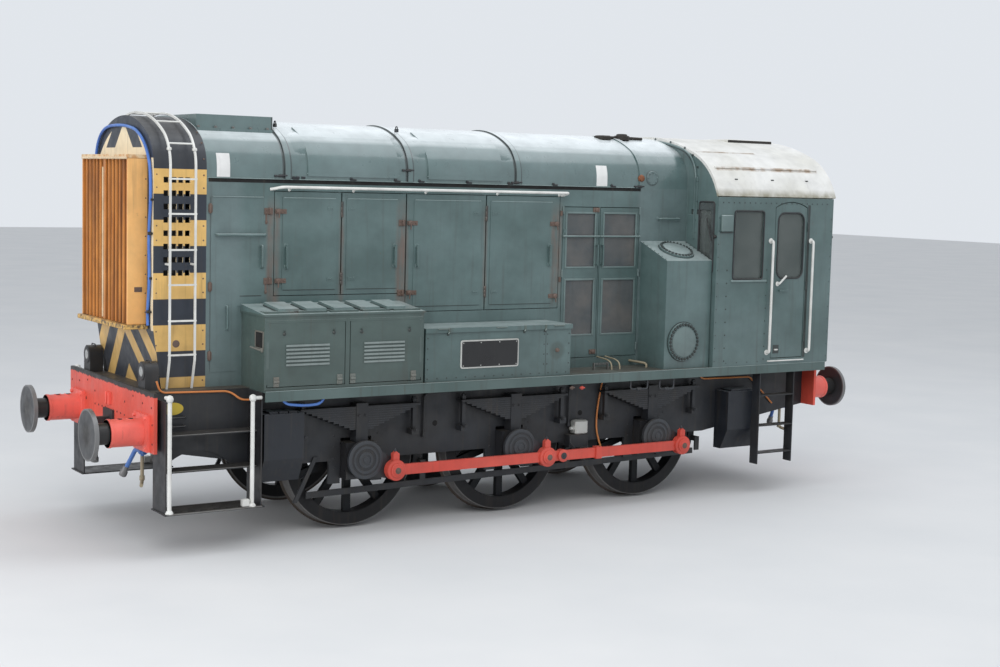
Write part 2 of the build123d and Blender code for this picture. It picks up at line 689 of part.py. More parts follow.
PULL_ROD_REAR_Z = AXLE_Z - 250.0
GUARD_TOP = (AXLE_XS["front"] + 430.0, AXLE_Z + 28.0)
GUARD_BOTTOM = (AXLE_XS["front"] + 641.0, AXLE_Z - 391.0)
GUARD_WIDTH = 45.0
GUARD_THICKNESS = 20.0


def pull_rod_z(x):
    """How high the middle of the pull rod is at one X."""
    share = (x - PULL_ROD_REAR_X) / (PULL_ROD_FRONT_X - PULL_ROD_REAR_X)
    return PULL_ROD_REAR_Z + (PULL_ROD_FRONT_Z - PULL_ROD_REAR_Z) * share


with BuildPart() as brake_gear:
    for axle_x in AXLE_XS.values():
        hanger_x = axle_x - BRAKE_REACH - BRAKE_BLOCK_DEPTH
        for side in (1, -1):
            with BuildSketch(side_plane(side * BRAKE_Y + BRAKE_BLOCK_WIDTH / 2)):
                with Locations((axle_x, AXLE_Z)):
                    Circle(BRAKE_REACH + BRAKE_BLOCK_DEPTH)
                    Circle(BRAKE_REACH, mode=Mode.SUBTRACT)
                with Locations((axle_x - BRAKE_REACH, AXLE_Z - BRAKE_BLOCK_DROP)):
                    Rectangle(BRAKE_BLOCK_HEIGHT, BRAKE_BLOCK_HEIGHT, mode=Mode.INTERSECT)
            extrude(amount=BRAKE_BLOCK_WIDTH)
            box_between(
                hanger_x - BRAKE_HANGER_WIDTH / 2,
                hanger_x + BRAKE_HANGER_WIDTH / 2,
                side * (BRAKE_Y - BRAKE_HANGER_THICKNESS / 2),
                side * (BRAKE_Y + BRAKE_HANGER_THICKNESS / 2),
                BRAKE_BEAM_Z - BRAKE_BEAM_SIZE / 2,
                PLATE_BOTTOM_Z,
            )
            box_between(
                hanger_x - BRAKE_HANGER_WIDTH / 2,
                hanger_x + BRAKE_HANGER_WIDTH / 2,
                side * PULL_ROD_Y[0],
                side * PULL_ROD_Y[1],
                pull_rod_z(hanger_x),
                BRAKE_BEAM_Z + BRAKE_BEAM_SIZE / 2,
            )
        box_between(
            hanger_x - BRAKE_BEAM_SIZE / 2,
            hanger_x + BRAKE_BEAM_SIZE / 2,
            -PULL_ROD_Y[1],
            PULL_ROD_Y[1],
            BRAKE_BEAM_Z - BRAKE_BEAM_SIZE / 2,
            BRAKE_BEAM_Z + BRAKE_BEAM_SIZE / 2,
        )
    for side in (1, -1):
        with BuildSketch(side_plane(side * (PULL_ROD_Y[0] + PULL_ROD_Y[1]) / 2)):
            with BuildLine():
                Polyline(
                    (PULL_ROD_REAR_X, PULL_ROD_REAR_Z - PULL_ROD_HEIGHT / 2),
                    (PULL_ROD_FRONT_X, PULL_ROD_FRONT_Z - PULL_ROD_HEIGHT / 2),
                    (PULL_ROD_FRONT_X, PULL_ROD_FRONT_Z + PULL_ROD_HEIGHT / 2),
                    (PULL_ROD_REAR_X, PULL_ROD_REAR_Z + PULL_ROD_HEIGHT / 2),
                    close=True,
                )
            make_face()
        extrude(amount=(PULL_ROD_Y[1] - PULL_ROD_Y[0]) / 2, both=True)
        with BuildSketch(side_plane(side * (FRAME_OUTER_Y + GUARD_THICKNESS / 2))):
            with BuildLine():
                Polyline(
                    (GUARD_TOP[0] - GUARD_WIDTH / 2, GUARD_TOP[1]),
                    (GUARD_BOTTOM[0] - GUARD_WIDTH / 2, GUARD_BOTTOM[1]),
                    (GUARD_BOTTOM[0] + GUARD_WIDTH / 2, GUARD_BOTTOM[1]),
                    (GUARD_TOP[0] + GUARD_WIDTH / 2, GUARD_TOP[1]),
                    close=True,
                )
            make_face()
        extrude(amount=GUARD_THICKNESS / 2, both=True)
finish(brake_gear.part, "brake_gear")


# Traction motors: eight-sided frames nose-hung on the front and rear axles, seen from below
MOTOR_HALF_WIDTH = 470.0
MOTOR_RADIUS = 300.0
MOTOR_AXLE_GAP = 25.0
MOTOR_RISE = 60.0
MOTOR_LUG_HALF_LENGTH = 120.0
MOTOR_LUG_HALF_WIDTH = 370.0

with BuildPart() as traction_motors:
    for place, towards in (("front", -1), ("rear", 1)):
        motor_x = AXLE_XS[place] + towards * (AXLE_RADIUS + MOTOR_AXLE_GAP + MOTOR_RADIUS)
        with BuildSketch(side_plane(MOTOR_HALF_WIDTH)):
            with Locations((motor_x, AXLE_Z + MOTOR_RISE)):
                RegularPolygon(MOTOR_RADIUS, 8, major_radius=False, rotation=22.5)
        extrude(amount=2 * MOTOR_HALF_WIDTH)
        box_between(
            motor_x - MOTOR_LUG_HALF_LENGTH,
            motor_x + MOTOR_LUG_HALF_LENGTH,
            -MOTOR_LUG_HALF_WIDTH,
            MOTOR_LUG_HALF_WIDTH,
            AXLE_Z + MOTOR_RISE,
            PLATE_BOTTOM_Z,
        )
finish(traction_motors.part, "traction_motors")


# Bonnet cross-section: upright sides, a shoulder arc and a crown arc that is level at the middle
def arch_shape(half_width, shoulder_radius):
    """Where shoulder and crown arcs join, the middle of the shoulder, the crown's radius and its height."""
    turn = math.radians(ROOF_SHOULDER_TURN)
    centre_y = half_width - shoulder_radius
    joint = (
        centre_y + shoulder_radius * math.cos(turn),
        ROOF_SPRING_Z + shoulder_radius * math.sin(turn),
    )
    middle = (
        centre_y + shoulder_radius * math.cos(turn / 2),
        ROOF_SPRING_Z + shoulder_radius * math.sin(turn / 2),
    )
    crown_radius = joint[0] / math.cos(turn)
    crown_z = joint[1] + crown_radius * (1 - math.sin(turn))
    return joint, middle, crown_radius, crown_z


def arch_over(half_width, shoulder_radius):
    """Draws the arch from the right springing to the left one in the line being built."""
    joint, middle = arch_shape(half_width, shoulder_radius)[:2]
    crown_z = arch_shape(half_width, shoulder_radius)[3]
    ThreePointArc((half_width, ROOF_SPRING_Z), middle, joint)
    ThreePointArc(joint, (0, crown_z), (-joint[0], joint[1]))
    ThreePointArc((-joint[0], joint[1]), (-middle[0], middle[1]), (-half_width, ROOF_SPRING_Z))


def crown_height(y, lift):
    """How high a crown arc, lifted off the roof, stands at one Y."""
    crown_radius, crown_z = arch_shape(BONNET_HALF_WIDTH + lift, ROOF_SHOULDER_RADIUS + lift)[2:]
    return crown_z - crown_radius + math.sqrt(crown_radius**2 - y**2)


def bonnet_face(lift, floor_z, mode=Mode.ADD):
    """The bonnet's section as a face in the sketch being built. lift moves its outline outwards."""
    half_width = BONNET_HALF_WIDTH + lift
    with BuildLine() as outline:
        arch_over(half_width, ROOF_SHOULDER_RADIUS + lift)
        Polyline(
            (-half_width, ROOF_SPRING_Z),
            (-half_width, floor_z),
            (half_width, floor_z),
            (half_width, ROOF_SPRING_Z),
        )
    make_face(outline.edges(), mode=mode)


# Bonnet roof: an arched shell with raised seam strips, shoulder hatches and a flat cover on the first section
ROOF_SEAMS = [
    AXLE_XS["front"] + 665.8,
    AXLE_XS["front"] - 641.2,
    MIDDLE_AXLE_X - 149.6,
    AXLE_XS["rear"] + 24.0,
]
SEAM_STRIP_WIDTH = 60.0
SEAM_STRIP_THICKNESS = 12.0
SEAM_STRIP_FOOT = 10.0
HATCH_THICKNESS = 16.0
HATCH_INNER_Y = 400.0
HATCH_SPANS = [(2315.0, 1348.0), (1015.0, 150.0)]
ROOF_COVER_SPAN = (ROOF_SEAMS[0] + 34.0, BONNET_FRONT_X - 6.0)
ROOF_COVER_HALF_WIDTH = 490.0
ROOF_COVER_RISE = 26.0
ROOF_COVER_FOOT = 34.0
ROOF_COVER_FOOT_THICKNESS = 12.0

with BuildPart() as bonnet_roof:
    with BuildSketch(cross_plane(BONNET_REAR_X)):
        bonnet_face(0, SIDE_TOP_Z)
        bonnet_face(-ROOF_SKIN, SIDE_TOP_Z, mode=Mode.SUBTRACT)
    extrude(amount=BONNET_FRONT_X - BONNET_REAR_X)
    for seam_x in ROOF_SEAMS:
        with BuildSketch(cross_plane(seam_x - SEAM_STRIP_WIDTH / 2)):
            bonnet_face(SEAM_STRIP_THICKNESS, SIDE_TOP_Z + SEAM_STRIP_FOOT)
            bonnet_face(0, SIDE_TOP_Z, mode=Mode.SUBTRACT)
        extrude(amount=SEAM_STRIP_WIDTH)
    for front_x, rear_x in HATCH_SPANS:
        with BuildSketch(cross_plane(rear_x)):
            bonnet_face(HATCH_THICKNESS, SIDE_TOP_Z + 4 * SEAM_STRIP_FOOT)
            bonnet_face(0, SIDE_TOP_Z, mode=Mode.SUBTRACT)
            with Locations((0, ROOF_SPRING_Z)):
                Rectangle(2 * HATCH_INNER_Y, 2 * BONNET_HALF_WIDTH, mode=Mode.SUBTRACT)
        extrude(amount=front_x - rear_x)
    cover_foot_z = crown_height(ROOF_COVER_HALF_WIDTH, 0) + ROOF_COVER_FOOT_THICKNESS
    for half_width, top_z in (
        (ROOF_COVER_HALF_WIDTH, crown_height(0, 0) + ROOF_COVER_RISE),
        (ROOF_COVER_HALF_WIDTH + ROOF_COVER_FOOT, cover_foot_z),
    ):
        box_between(
            ROOF_COVER_SPAN[0],
            ROOF_COVER_SPAN[1],
            -half_width,
            half_width,
            crown_height(half_width, 0) - ROOF_SKIN / 2,
            top_z,
        )
    with BuildSketch(cross_plane(ROOF_COVER_SPAN[0])):
        bonnet_face(-ROOF_SKIN, SIDE_TOP_Z)
    extrude(amount=ROOF_COVER_SPAN[1] - ROOF_COVER_SPAN[0], mode=Mode.SUBTRACT)
finish(bonnet_roof.part, "bonnet_roof")


# Bonnet sides: upright skins with the door openings, door posts, and a cover panel behind the nose
FIXED_PANEL_X = (BONNET_FRONT_X - 603.0, BONNET_FRONT_X - 43.0)
FIXED_PANEL_TOP_Z = SIDE_TOP_Z - 160.0
FIXED_PANEL_BOTTOM_Z = 1569.0
BATTERY_FRONT_X = 2967.0
BATTERY_TOP_Z = 2128.0
BATTERY_PANEL_GAP = 40.0
FIXED_PANEL_RISE = 5.0
DOOR_TOP_Z = SIDE_TOP_Z - 101.0
MESH_DOOR_TOP_Z = SIDE_TOP_Z - 204.0
UPPER_DOOR_BOTTOM_Z = 2253.0
MIDDLE_DOOR_BOTTOM_Z = 2070.0
MESH_DOOR_BOTTOM_Z = 1539.0
DOOR_POST_XS = [1953.0, 1248.0, 327.0]
DOOR_POST_WIDTH = 60.0
DOOR_POST_DEPTH = 35.0
BONNET_DOORS = [
    # name, front x, rear x, bottom z, top z, hinge edge
    ("door_1", 2653.0, DOOR_POST_XS[0], UPPER_DOOR_BOTTOM_Z, DOOR_TOP_Z, "rear"),
    ("door_2", DOOR_POST_XS[0], DOOR_POST_XS[1], UPPER_DOOR_BOTTOM_Z, DOOR_TOP_Z, "front"),
    ("door_3", DOOR_POST_XS[1], DOOR_POST_XS[2], MIDDLE_DOOR_BOTTOM_Z, DOOR_TOP_Z, "rear"),
    ("door_4", DOOR_POST_XS[2], -578.0, MIDDLE_DOOR_BOTTOM_Z, DOOR_TOP_Z, "front"),
    ("mesh_door_1", -614.0, -1085.0, MESH_DOOR_BOTTOM_Z, MESH_DOOR_TOP_Z, "front"),
    ("mesh_door_2", -1095.0, -1622.0, MESH_DOOR_BOTTOM_Z, MESH_DOOR_TOP_Z, "rear"),
]

with BuildPart() as bonnet_sides:
    box_between(
        BONNET_REAR_X,
        BONNET_FRONT_X,
        BONNET_HALF_WIDTH - BONNET_SKIN,
        BONNET_HALF_WIDTH,
        PLATE_TOP_Z,
        SIDE_TOP_Z,
    )
    for post_x in DOOR_POST_XS:
        box_between(
            post_x - DOOR_POST_WIDTH / 2,
            post_x + DOOR_POST_WIDTH / 2,
            BONNET_HALF_WIDTH - BONNET_SKIN - DOOR_POST_DEPTH,
            BONNET_HALF_WIDTH - BONNET_SKIN,
            PLATE_TOP_Z,
            SIDE_TOP_Z,
        )
    for rear_x, bottom_z in (
        (FIXED_PANEL_X[0], BATTERY_TOP_Z + BATTERY_PANEL_GAP),
        (BATTERY_FRONT_X + BATTERY_PANEL_GAP, FIXED_PANEL_BOTTOM_Z),
    ):
        box_between(
            rear_x,
            FIXED_PANEL_X[1],
            BONNET_HALF_WIDTH,
            BONNET_HALF_WIDTH + FIXED_PANEL_RISE,
            bottom_z,
            FIXED_PANEL_TOP_Z,
        )
    for name, front_x, rear_x, bottom_z, top_z, hinge in BONNET_DOORS:
        box_between(
            rear_x,
            front_x,
            BONNET_HALF_WIDTH - DOOR_THICKNESS - DOOR_GAP,
            BONNET_HALF_WIDTH + 1,
            bottom_z,
            top_z,
            mode=Mode.SUBTRACT,
        )
    mirror(about=Plane.XZ)
finish(bonnet_sides.part, "bonnet_sides")


# Bonnet doors: leaves flush with the sides, with a raised panel or mesh panes, hinge straps and a grab handle
HANDLE_REACH = 42.0
HANDLE_BAR = 16.0
HANDLE_LENGTH = 220.0
HANDLE_Z = 2622.0
HANDLE_EDGE = 125.0
PANEL_RISE = 5.0
PANEL_LATCH_MARGIN = 86.0
PANEL_HINGE_MARGIN = 52.0
PANEL_TOP_MARGIN = 58.0
MESH_FRAME_WIDTH = 52.0
MESH_SETBACK = 10.0
MESH_PANES_Z = [(1786.0, 2363.0), (2496.0, MESH_DOOR_TOP_Z - 67.0)]
HINGE_STRAP_INSET = 70.0
HINGE_STRAP_LENGTH = 150.0
HINGE_STRAP_HEIGHT = 36.0
HINGE_STRAP_THICKNESS = 8.0
HINGE_INSET_SHARE = 0.16


def side_door(sign, front_x, rear_x, bottom_z, top_z, hinge, mesh):
    with BuildPart() as door:
        box_between(
            rear_x + DOOR_GAP,
            front_x - DOOR_GAP,
            sign * (BONNET_HALF_WIDTH - DOOR_THICKNESS),
            sign * BONNET_HALF_WIDTH,
            bottom_z + DOOR_GAP,
            top_z - DOOR_GAP,
        )
        if mesh:
            for low_z, high_z in MESH_PANES_Z:
                box_between(
                    rear_x + MESH_FRAME_WIDTH,
                    front_x - MESH_FRAME_WIDTH,
                    sign * (BONNET_HALF_WIDTH - MESH_SETBACK),
                    sign * (BONNET_HALF_WIDTH + 1),
                    low_z,
                    high_z,
                    mode=Mode.SUBTRACT,
                )
        hinge_x, latch_x, inward = (rear_x, front_x, 1) if hinge == "rear" else (front_x, rear_x, -1)
        if not mesh:
            box_between(
                hinge_x + inward * PANEL_HINGE_MARGIN,
                latch_x - inward * PANEL_LATCH_MARGIN,
                sign * BONNET_HALF_WIDTH,
                sign * (BONNET_HALF_WIDTH + PANEL_RISE),
                bottom_z + PANEL_TOP_MARGIN,
                top_z - PANEL_TOP_MARGIN,
            )
        for end in (1, -1):
            strap_z = (bottom_z + top_z) / 2 + end * (0.5 - HINGE_INSET_SHARE) * (top_z - bottom_z)
            box_between(
                hinge_x + inward * (2 * DOOR_GAP if mesh else HINGE_STRAP_INSET),
                hinge_x + inward * (MESH_FRAME_WIDTH - DOOR_GAP if mesh else HINGE_STRAP_LENGTH),
                sign * BONNET_HALF_WIDTH,
                sign * (BONNET_HALF_WIDTH + HINGE_STRAP_THICKNESS),
                strap_z - HINGE_STRAP_HEIGHT / 2,
                strap_z + HINGE_STRAP_HEIGHT / 2,
            )
        handle_x = latch_x - inward * ((DOOR_GAP + MESH_FRAME_WIDTH) / 2 if mesh else HANDLE_EDGE)
        foot_y = BONNET_HALF_WIDTH if mesh else BONNET_HALF_WIDTH + PANEL_RISE
        for end in (1, -1):
            foot_z = HANDLE_Z + end * (HANDLE_LENGTH - HANDLE_BAR) / 2
            box_between(
                handle_x - HANDLE_BAR / 2,
                handle_x + HANDLE_BAR / 2,
                sign * foot_y,
                sign * (BONNET_HALF_WIDTH + HANDLE_REACH),
                foot_z - HANDLE_BAR / 2,
                foot_z + HANDLE_BAR / 2,
            )
        box_between(
            handle_x - HANDLE_BAR / 2,
            handle_x + HANDLE_BAR / 2,
            sign * (BONNET_HALF_WIDTH + HANDLE_REACH - HANDLE_BAR),
            sign * (BONNET_HALF_WIDTH + HANDLE_REACH),
            HANDLE_Z - (HANDLE_LENGTH - HANDLE_BAR) / 2,
            HANDLE_Z + (HANDLE_LENGTH - HANDLE_BAR) / 2,
        )
    return door.part


for side, sign in (("left", 1), ("right", -1)):
    for name, front_x, rear_x, bottom_z, top_z, hinge in BONNET_DOORS:
        leaf = side_door(sign, front_x, rear_x, bottom_z, top_z, hinge, name.startswith("mesh"))
        finish(leaf, f"{name}_{side}")


# Nose: the radiator casing, a shell open to the rear, with its side grilles
NOSE_SKIN = 20.0
RADIATOR_HALF_WIDTH = 600.0
RADIATOR_BOTTOM_Z = 2010.0
RADIATOR_TOP_Z = ROOF_SPRING_Z + 70.0
GRILLE_SETBACKS = [118.0, 193.0, 256.0, 321.0]
GRILLE_SLOT_LENGTH = 48.0
GRILLE_SLOT_HEIGHT = 50.0
GRILLE_ROW_TOP_Z = SIDE_TOP_Z - 23.0
GRILLE_ROW_PITCH = 118.6
GRILLE_ROWS = 8

with BuildPart() as nose_shell:
    with BuildSketch(cross_plane(BONNET_FRONT_X)):
        bonnet_face(0, PLATE_TOP_Z)
    extrude(amount=NOSE_LENGTH)
    with BuildSketch(side_plane(BONNET_HALF_WIDTH + 1)):
        with BuildLine():
            Polyline(
                (NOSE_FOOT_X, PLATE_TOP_Z),
                (NOSE_FACE_X, NOSE_SLOPE_Z),
                (NOSE_FACE_X + NOSE_SETBACK, NOSE_SLOPE_Z),
                (NOSE_FACE_X + NOSE_SETBACK, PLATE_TOP_Z),
                close=True,
            )
        make_face()
    extrude(amount=2 * BONNET_HALF_WIDTH + 2, mode=Mode.SUBTRACT)
    with BuildSketch(cross_plane(BONNET_FRONT_X)):
        bonnet_face(-NOSE_SKIN, PLATE_TOP_Z)
    extrude(amount=NOSE_FOOT_X - NOSE_SKIN - BONNET_FRONT_X, mode=Mode.SUBTRACT)
    box_between(
        BONNET_FRONT_X,
        NOSE_FACE_X + 1,
        -RADIATOR_HALF_WIDTH,
        RADIATOR_HALF_WIDTH,
        RADIATOR_BOTTOM_Z,
        RADIATOR_TOP_Z,
        mode=Mode.SUBTRACT,
    )
    for side in (1, -1):
        for setback in GRILLE_SETBACKS:
            for row in range(GRILLE_ROWS):
                slot_z = GRILLE_ROW_TOP_Z - row * GRILLE_ROW_PITCH
                with Locations((NOSE_FACE_X - setback, side * BONNET_HALF_WIDTH, slot_z)):
                    Box(GRILLE_SLOT_LENGTH, 4 * NOSE_SKIN, GRILLE_SLOT_HEIGHT, mode=Mode.SUBTRACT)
finish(nose_shell.part, "nose_shell")


# Radiator core behind the shutter
CORE_FRONT_X = NOSE_FACE_X - 118.0
CORE_THICKNESS = 200.0
CORE_HALF_WIDTH = RADIATOR_HALF_WIDTH + 60.0
CORE_OVERLAP = 110.0

with BuildPart() as radiator_core:
    box_between(
        CORE_FRONT_X - CORE_THICKNESS,
        CORE_FRONT_X,
        -CORE_HALF_WIDTH,
        CORE_HALF_WIDTH,
        RADIATOR_BOTTOM_Z - CORE_OVERLAP,
        RADIATOR_TOP_Z,
    )
finish(radiator_core.part, "radiator_core")


# Radiator shutter: a box of upright slats on the nose face, with a ledge below and a hood above
SHUTTER_DEPTH = 185.0
SHUTTER_FACE_X = NOSE_FACE_X + SHUTTER_DEPTH
SHUTTER_HALF_WIDTH = 618.0
SHUTTER_CHEEK = 25.0
SLAT_COUNT = 22
SLAT_THICKNESS = 8.0
SLAT_DEPTH = 44.0
SLAT_TURN = 35.0
SLAT_SETBACK = 30.0
LEDGE_REACH = 40.0
LEDGE_DEPTH = 42.0
LEDGE_OVERHANG = 20.0
HOOD_REACH = 8.0
HOOD_DEPTH = 35.0
MEETING_STRIP = 18.0

with BuildPart() as shutter_box:
    for side in (1, -1):
        box_between(
            NOSE_FACE_X,
            SHUTTER_FACE_X,
            side * (SHUTTER_HALF_WIDTH - SHUTTER_CHEEK),
            side * SHUTTER_HALF_WIDTH,
            RADIATOR_BOTTOM_Z,
            RADIATOR_TOP_Z,
        )
    box_between(
        NOSE_FACE_X,
        SHUTTER_FACE_X + HOOD_REACH,
        -SHUTTER_HALF_WIDTH,
        SHUTTER_HALF_WIDTH,
        RADIATOR_TOP_Z,
        RADIATOR_TOP_Z + HOOD_DEPTH,
    )
    box_between(
        NOSE_FACE_X,
        SHUTTER_FACE_X + LEDGE_REACH,
        -SHUTTER_HALF_WIDTH - LEDGE_OVERHANG,
        SHUTTER_HALF_WIDTH + LEDGE_OVERHANG,
        RADIATOR_BOTTOM_Z - LEDGE_DEPTH,
        RADIATOR_BOTTOM_Z,
    )

with BuildPart() as shutter_slats:
    slat_span = 2 * (SHUTTER_HALF_WIDTH - SHUTTER_CHEEK) - 2 * MEETING_STRIP
    slat_z = (RADIATOR_BOTTOM_Z + RADIATOR_TOP_Z) / 2
    slat_height = RADIATOR_TOP_Z - RADIATOR_BOTTOM_Z
    for slat in range(SLAT_COUNT):
        side = 1 if slat < SLAT_COUNT / 2 else -1
        step = slat if side == 1 else slat - SLAT_COUNT / 2
        slat_y = side * (MEETING_STRIP + slat_span * (step + 0.5) / SLAT_COUNT)
        with Locations(Location((SHUTTER_FACE_X - SLAT_SETBACK, slat_y, slat_z), (0, 0, SLAT_TURN))):
            Box(SLAT_DEPTH, SLAT_THICKNESS, slat_height)
    box_between(
        SHUTTER_FACE_X - 2 * SLAT_SETBACK,
        SHUTTER_FACE_X + HOOD_REACH / 2,
        -MEETING_STRIP,
        MEETING_STRIP,
        RADIATOR_BOTTOM_Z,
        RADIATOR_TOP_Z,
    )
finish_set([shutter_box.part, shutter_slats.part], "radiator_shutter")


# Nose ladders: flat-bar hoops that climb the nose side, cross the roof and come down the other side
LADDER_Y = BONNET_HALF_WIDTH + 100.0
LADDER_BAR = 18.0
LADDER_SETBACKS = [118.0, 356.0]
LADDER_BEND_Z = 1700.0
LADDER_FOOT_INSET = 70.0
LADDER_SHOULDER_RADIUS = 368.0
LADDER_STAY_Z = 2550.0
LADDER_RUNG_BAR = 16.0
LADDER_RUNG_Z = [3318.0, 3009.0, 2689.0, 2377.0, 2055.0, 1749.0]
LADDER_XS = [NOSE_FACE_X - setback for setback in LADDER_SETBACKS]


def ladder_section(grow):
    """The hoop's outline as a face: its inner edge, or its outer edge with grow set to the bar."""
    half_width = LADDER_Y - LADDER_BAR / 2 + grow
    with BuildLine() as outline:
        arch_over(half_width, LADDER_SHOULDER_RADIUS - LADDER_BAR / 2 + grow)
        Polyline(
            (-half_width, ROOF_SPRING_Z),
            (-half_width, LADDER_BEND_Z),
            (LADDER_FOOT_INSET - half_width, PLATE_TOP_Z),
            (half_width - LADDER_FOOT_INSET, PLATE_TOP_Z),
            (half_width, LADDER_BEND_Z),
            (half_width, ROOF_SPRING_Z),
        )
    return outline.edges()


with BuildPart() as ladder_hoops:
    for rail_x in LADDER_XS:
        with BuildSketch(cross_plane(rail_x)):
            make_face(ladder_section(LADDER_BAR))
            make_face(ladder_section(0), mode=Mode.SUBTRACT)
        extrude(amount=LADDER_BAR / 2, both=True)

with BuildPart() as ladder_rungs:
    for side in (1, -1):
        for rung_z in LADDER_RUNG_Z:
            box_between(
                LADDER_XS[1] + LADDER_BAR / 2,
                LADDER_XS[0] - LADDER_BAR / 2,
                side * (LADDER_Y - LADDER_RUNG_BAR / 2),
                side * (LADDER_Y + LADDER_RUNG_BAR / 2),
                rung_z - LADDER_RUNG_BAR / 2,
                rung_z + LADDER_RUNG_BAR / 2,
            )
        for rail_x in LADDER_XS:
            box_between(
                rail_x - LADDER_BAR / 2,
                rail_x + LADDER_BAR / 2,
                side * BONNET_HALF_WIDTH,
                side * (LADDER_Y - LADDER_BAR / 2),
                LADDER_STAY_Z,
                LADDER_STAY_Z + LADDER_BAR,
            )
finish_set([ladder_hoops.part, ladder_rungs.part], "nose_ladders")


# Handrails: the rails along the bonnet, the posts at the front steps and the rails at the cab doors
RAIL_RADIUS = 14.0
POST_RADIUS = 20.0
BRACKET_BAR = 20.0
BONNET_RAIL_Y = BONNET_HALF_WIDTH + 80.0
BONNET_RAIL_Z = SIDE_TOP_Z - 66.0
BONNET_RAIL_X = (-602.0, 2693.0)
BONNET_BRACKETS = 5
PANEL_RAIL_X = (FIXED_PANEL_X[0] + 34.0, FIXED_PANEL_X[1] - 54.0)
PANEL_RAIL_Z = 2822.0
CAB_RAIL_XS = [CAB_REAR_X + 919.7, CAB_REAR_X + 325.7]
CAB_RAIL_Y = CAB_HALF_WIDTH + 45.0
CAB_RAIL_Z = (CAB_FLOOR_TOP_Z + 64.0, 2803.0)
POST_Y = BOTTOM_TREAD_OUTER_Y - 12.0 - POST_RADIUS
FRONT_POST_X = FRONT_STEP_FRONT_X - 36.0
REAR_POST_X = FRONT_STEP_REAR_X + 96.0
POST_TOP_Z = PLATE_TOP_Z - 24.5
REAR_POST_TOP_Z = POST_TOP_Z - 30.0
STUB_WIDTH = 16.0

with BuildPart() as rails:
    for (rear_x, front_x), rail_z in ((BONNET_RAIL_X, BONNET_RAIL_Z), (PANEL_RAIL_X, PANEL_RAIL_Z)):
        bar_along("x", (rear_x + front_x) / 2, BONNET_RAIL_Y, rail_z, RAIL_RADIUS, front_x - rear_x)
    for rail_x in CAB_RAIL_XS:
        rail_z = sum(CAB_RAIL_Z) / 2
        bar_along("z", rail_x, CAB_RAIL_Y, rail_z, RAIL_RADIUS, CAB_RAIL_Z[1] - CAB_RAIL_Z[0])
    for post_x, top_z in ((FRONT_POST_X, POST_TOP_Z), (REAR_POST_X, REAR_POST_TOP_Z)):
        post_z = (BOTTOM_TREAD_Z + top_z) / 2
        bar_along("z", post_x, POST_Y, post_z, POST_RADIUS, top_z - BOTTOM_TREAD_Z)
    mirror(about=Plane.XZ)

with BuildPart() as brackets:
    bonnet_rail_length = BONNET_RAIL_X[1] - BONNET_RAIL_X[0] - 2 * BRACKET_BAR
    bracket_xs = [
        BONNET_RAIL_X[0] + BRACKET_BAR + bonnet_rail_length * index / (BONNET_BRACKETS - 1)
        for index in range(BONNET_BRACKETS)
    ]
    for bracket_x in bracket_xs:
        box_between(
            bracket_x - BRACKET_BAR / 2,
            bracket_x + BRACKET_BAR / 2,
            BONNET_HALF_WIDTH,
            BONNET_RAIL_Y - RAIL_RADIUS,
            BONNET_RAIL_Z - BRACKET_BAR / 2,
            BONNET_RAIL_Z + BRACKET_BAR / 2,
        )
    for bracket_x in (PANEL_RAIL_X[0] + BRACKET_BAR, PANEL_RAIL_X[1] - BRACKET_BAR):
        box_between(
            bracket_x - BRACKET_BAR / 2,
            bracket_x + BRACKET_BAR / 2,
            BONNET_HALF_WIDTH + FIXED_PANEL_RISE,
            BONNET_RAIL_Y - RAIL_RADIUS,
            PANEL_RAIL_Z - BRACKET_BAR / 2,
            PANEL_RAIL_Z + BRACKET_BAR / 2,
        )
    for rail_x in CAB_RAIL_XS:
        for bracket_z in (CAB_RAIL_Z[0] + BRACKET_BAR, CAB_RAIL_Z[1] - BRACKET_BAR):
            box_between(
                rail_x - BRACKET_BAR / 2,
                rail_x + BRACKET_BAR / 2,
                CAB_HALF_WIDTH,
                CAB_RAIL_Y - RAIL_RADIUS,
                bracket_z - BRACKET_BAR / 2,
                bracket_z + BRACKET_BAR / 2,
            )
    box_between(
        FRONT_POST_X,
        BEAM_BACK_X,
        POST_Y - POST_RADIUS - STUB_WIDTH,
        POST_Y - POST_RADIUS,
        FRONT_STEP_TOP_Z,
        POST_TOP_Z,
    )
    box_between(
        BEAM_BACK_X - 2 * POST_RADIUS,
        BEAM_BACK_X,
        BEAM_HALF_WIDTH - 2 * POST_RADIUS,
        POST_Y - POST_RADIUS,
        FRONT_STEP_TOP_Z,
        POST_TOP_Z,
    )
    box_between(
        FRONT_STEP_REAR_X + STEP_PLATE,
        REAR_POST_X,
        POST_Y - POST_RADIUS - STUB_WIDTH,
        POST_Y - POST_RADIUS,
        REAR_POST_TOP_Z - 2 * POST_RADIUS,
        REAR_POST_TOP_Z,
    )
    mirror(about=Plane.XZ)
finish_set([rails.part, brackets.part], "handrails")


# Battery boxes: hollow, with raised lids on top and two drop leaves in the face
BATTERY_REAR_X = 1320.0
BATTERY_SPLIT_X = 2131.0
BATTERY_FACE_Y = HALF_WIDTH - 25.5
BATTERY_WALL = 12.0
BATTERY_POST = 22.0
LEAF_BOTTOM_Z = PLATE_TOP_Z + 29.5
LEAF_TOP_Z = BATTERY_TOP_Z - 58.0
LEAF_THICKNESS = 20.0
BATTERY_LIDS = 5
BATTERY_LID_RISE = 22.0
BATTERY_TOP_PLATE = 18.0
BATTERY_TOP_OVERHANG = 10.0
BATTERY_LID_GAP = 22.0
BATTERY_LEAVES = [
    # name, front x, rear x, louvre front x, louvre rear x
    ("battery_leaf_front", BATTERY_FRONT_X, BATTERY_SPLIT_X, 2756.0, 2321.0),
    ("battery_leaf_rear", BATTERY_SPLIT_X, BATTERY_REAR_X, 1962.0, 1532.0),
]
LOUVRE_BOTTOM_Z = 1652.0
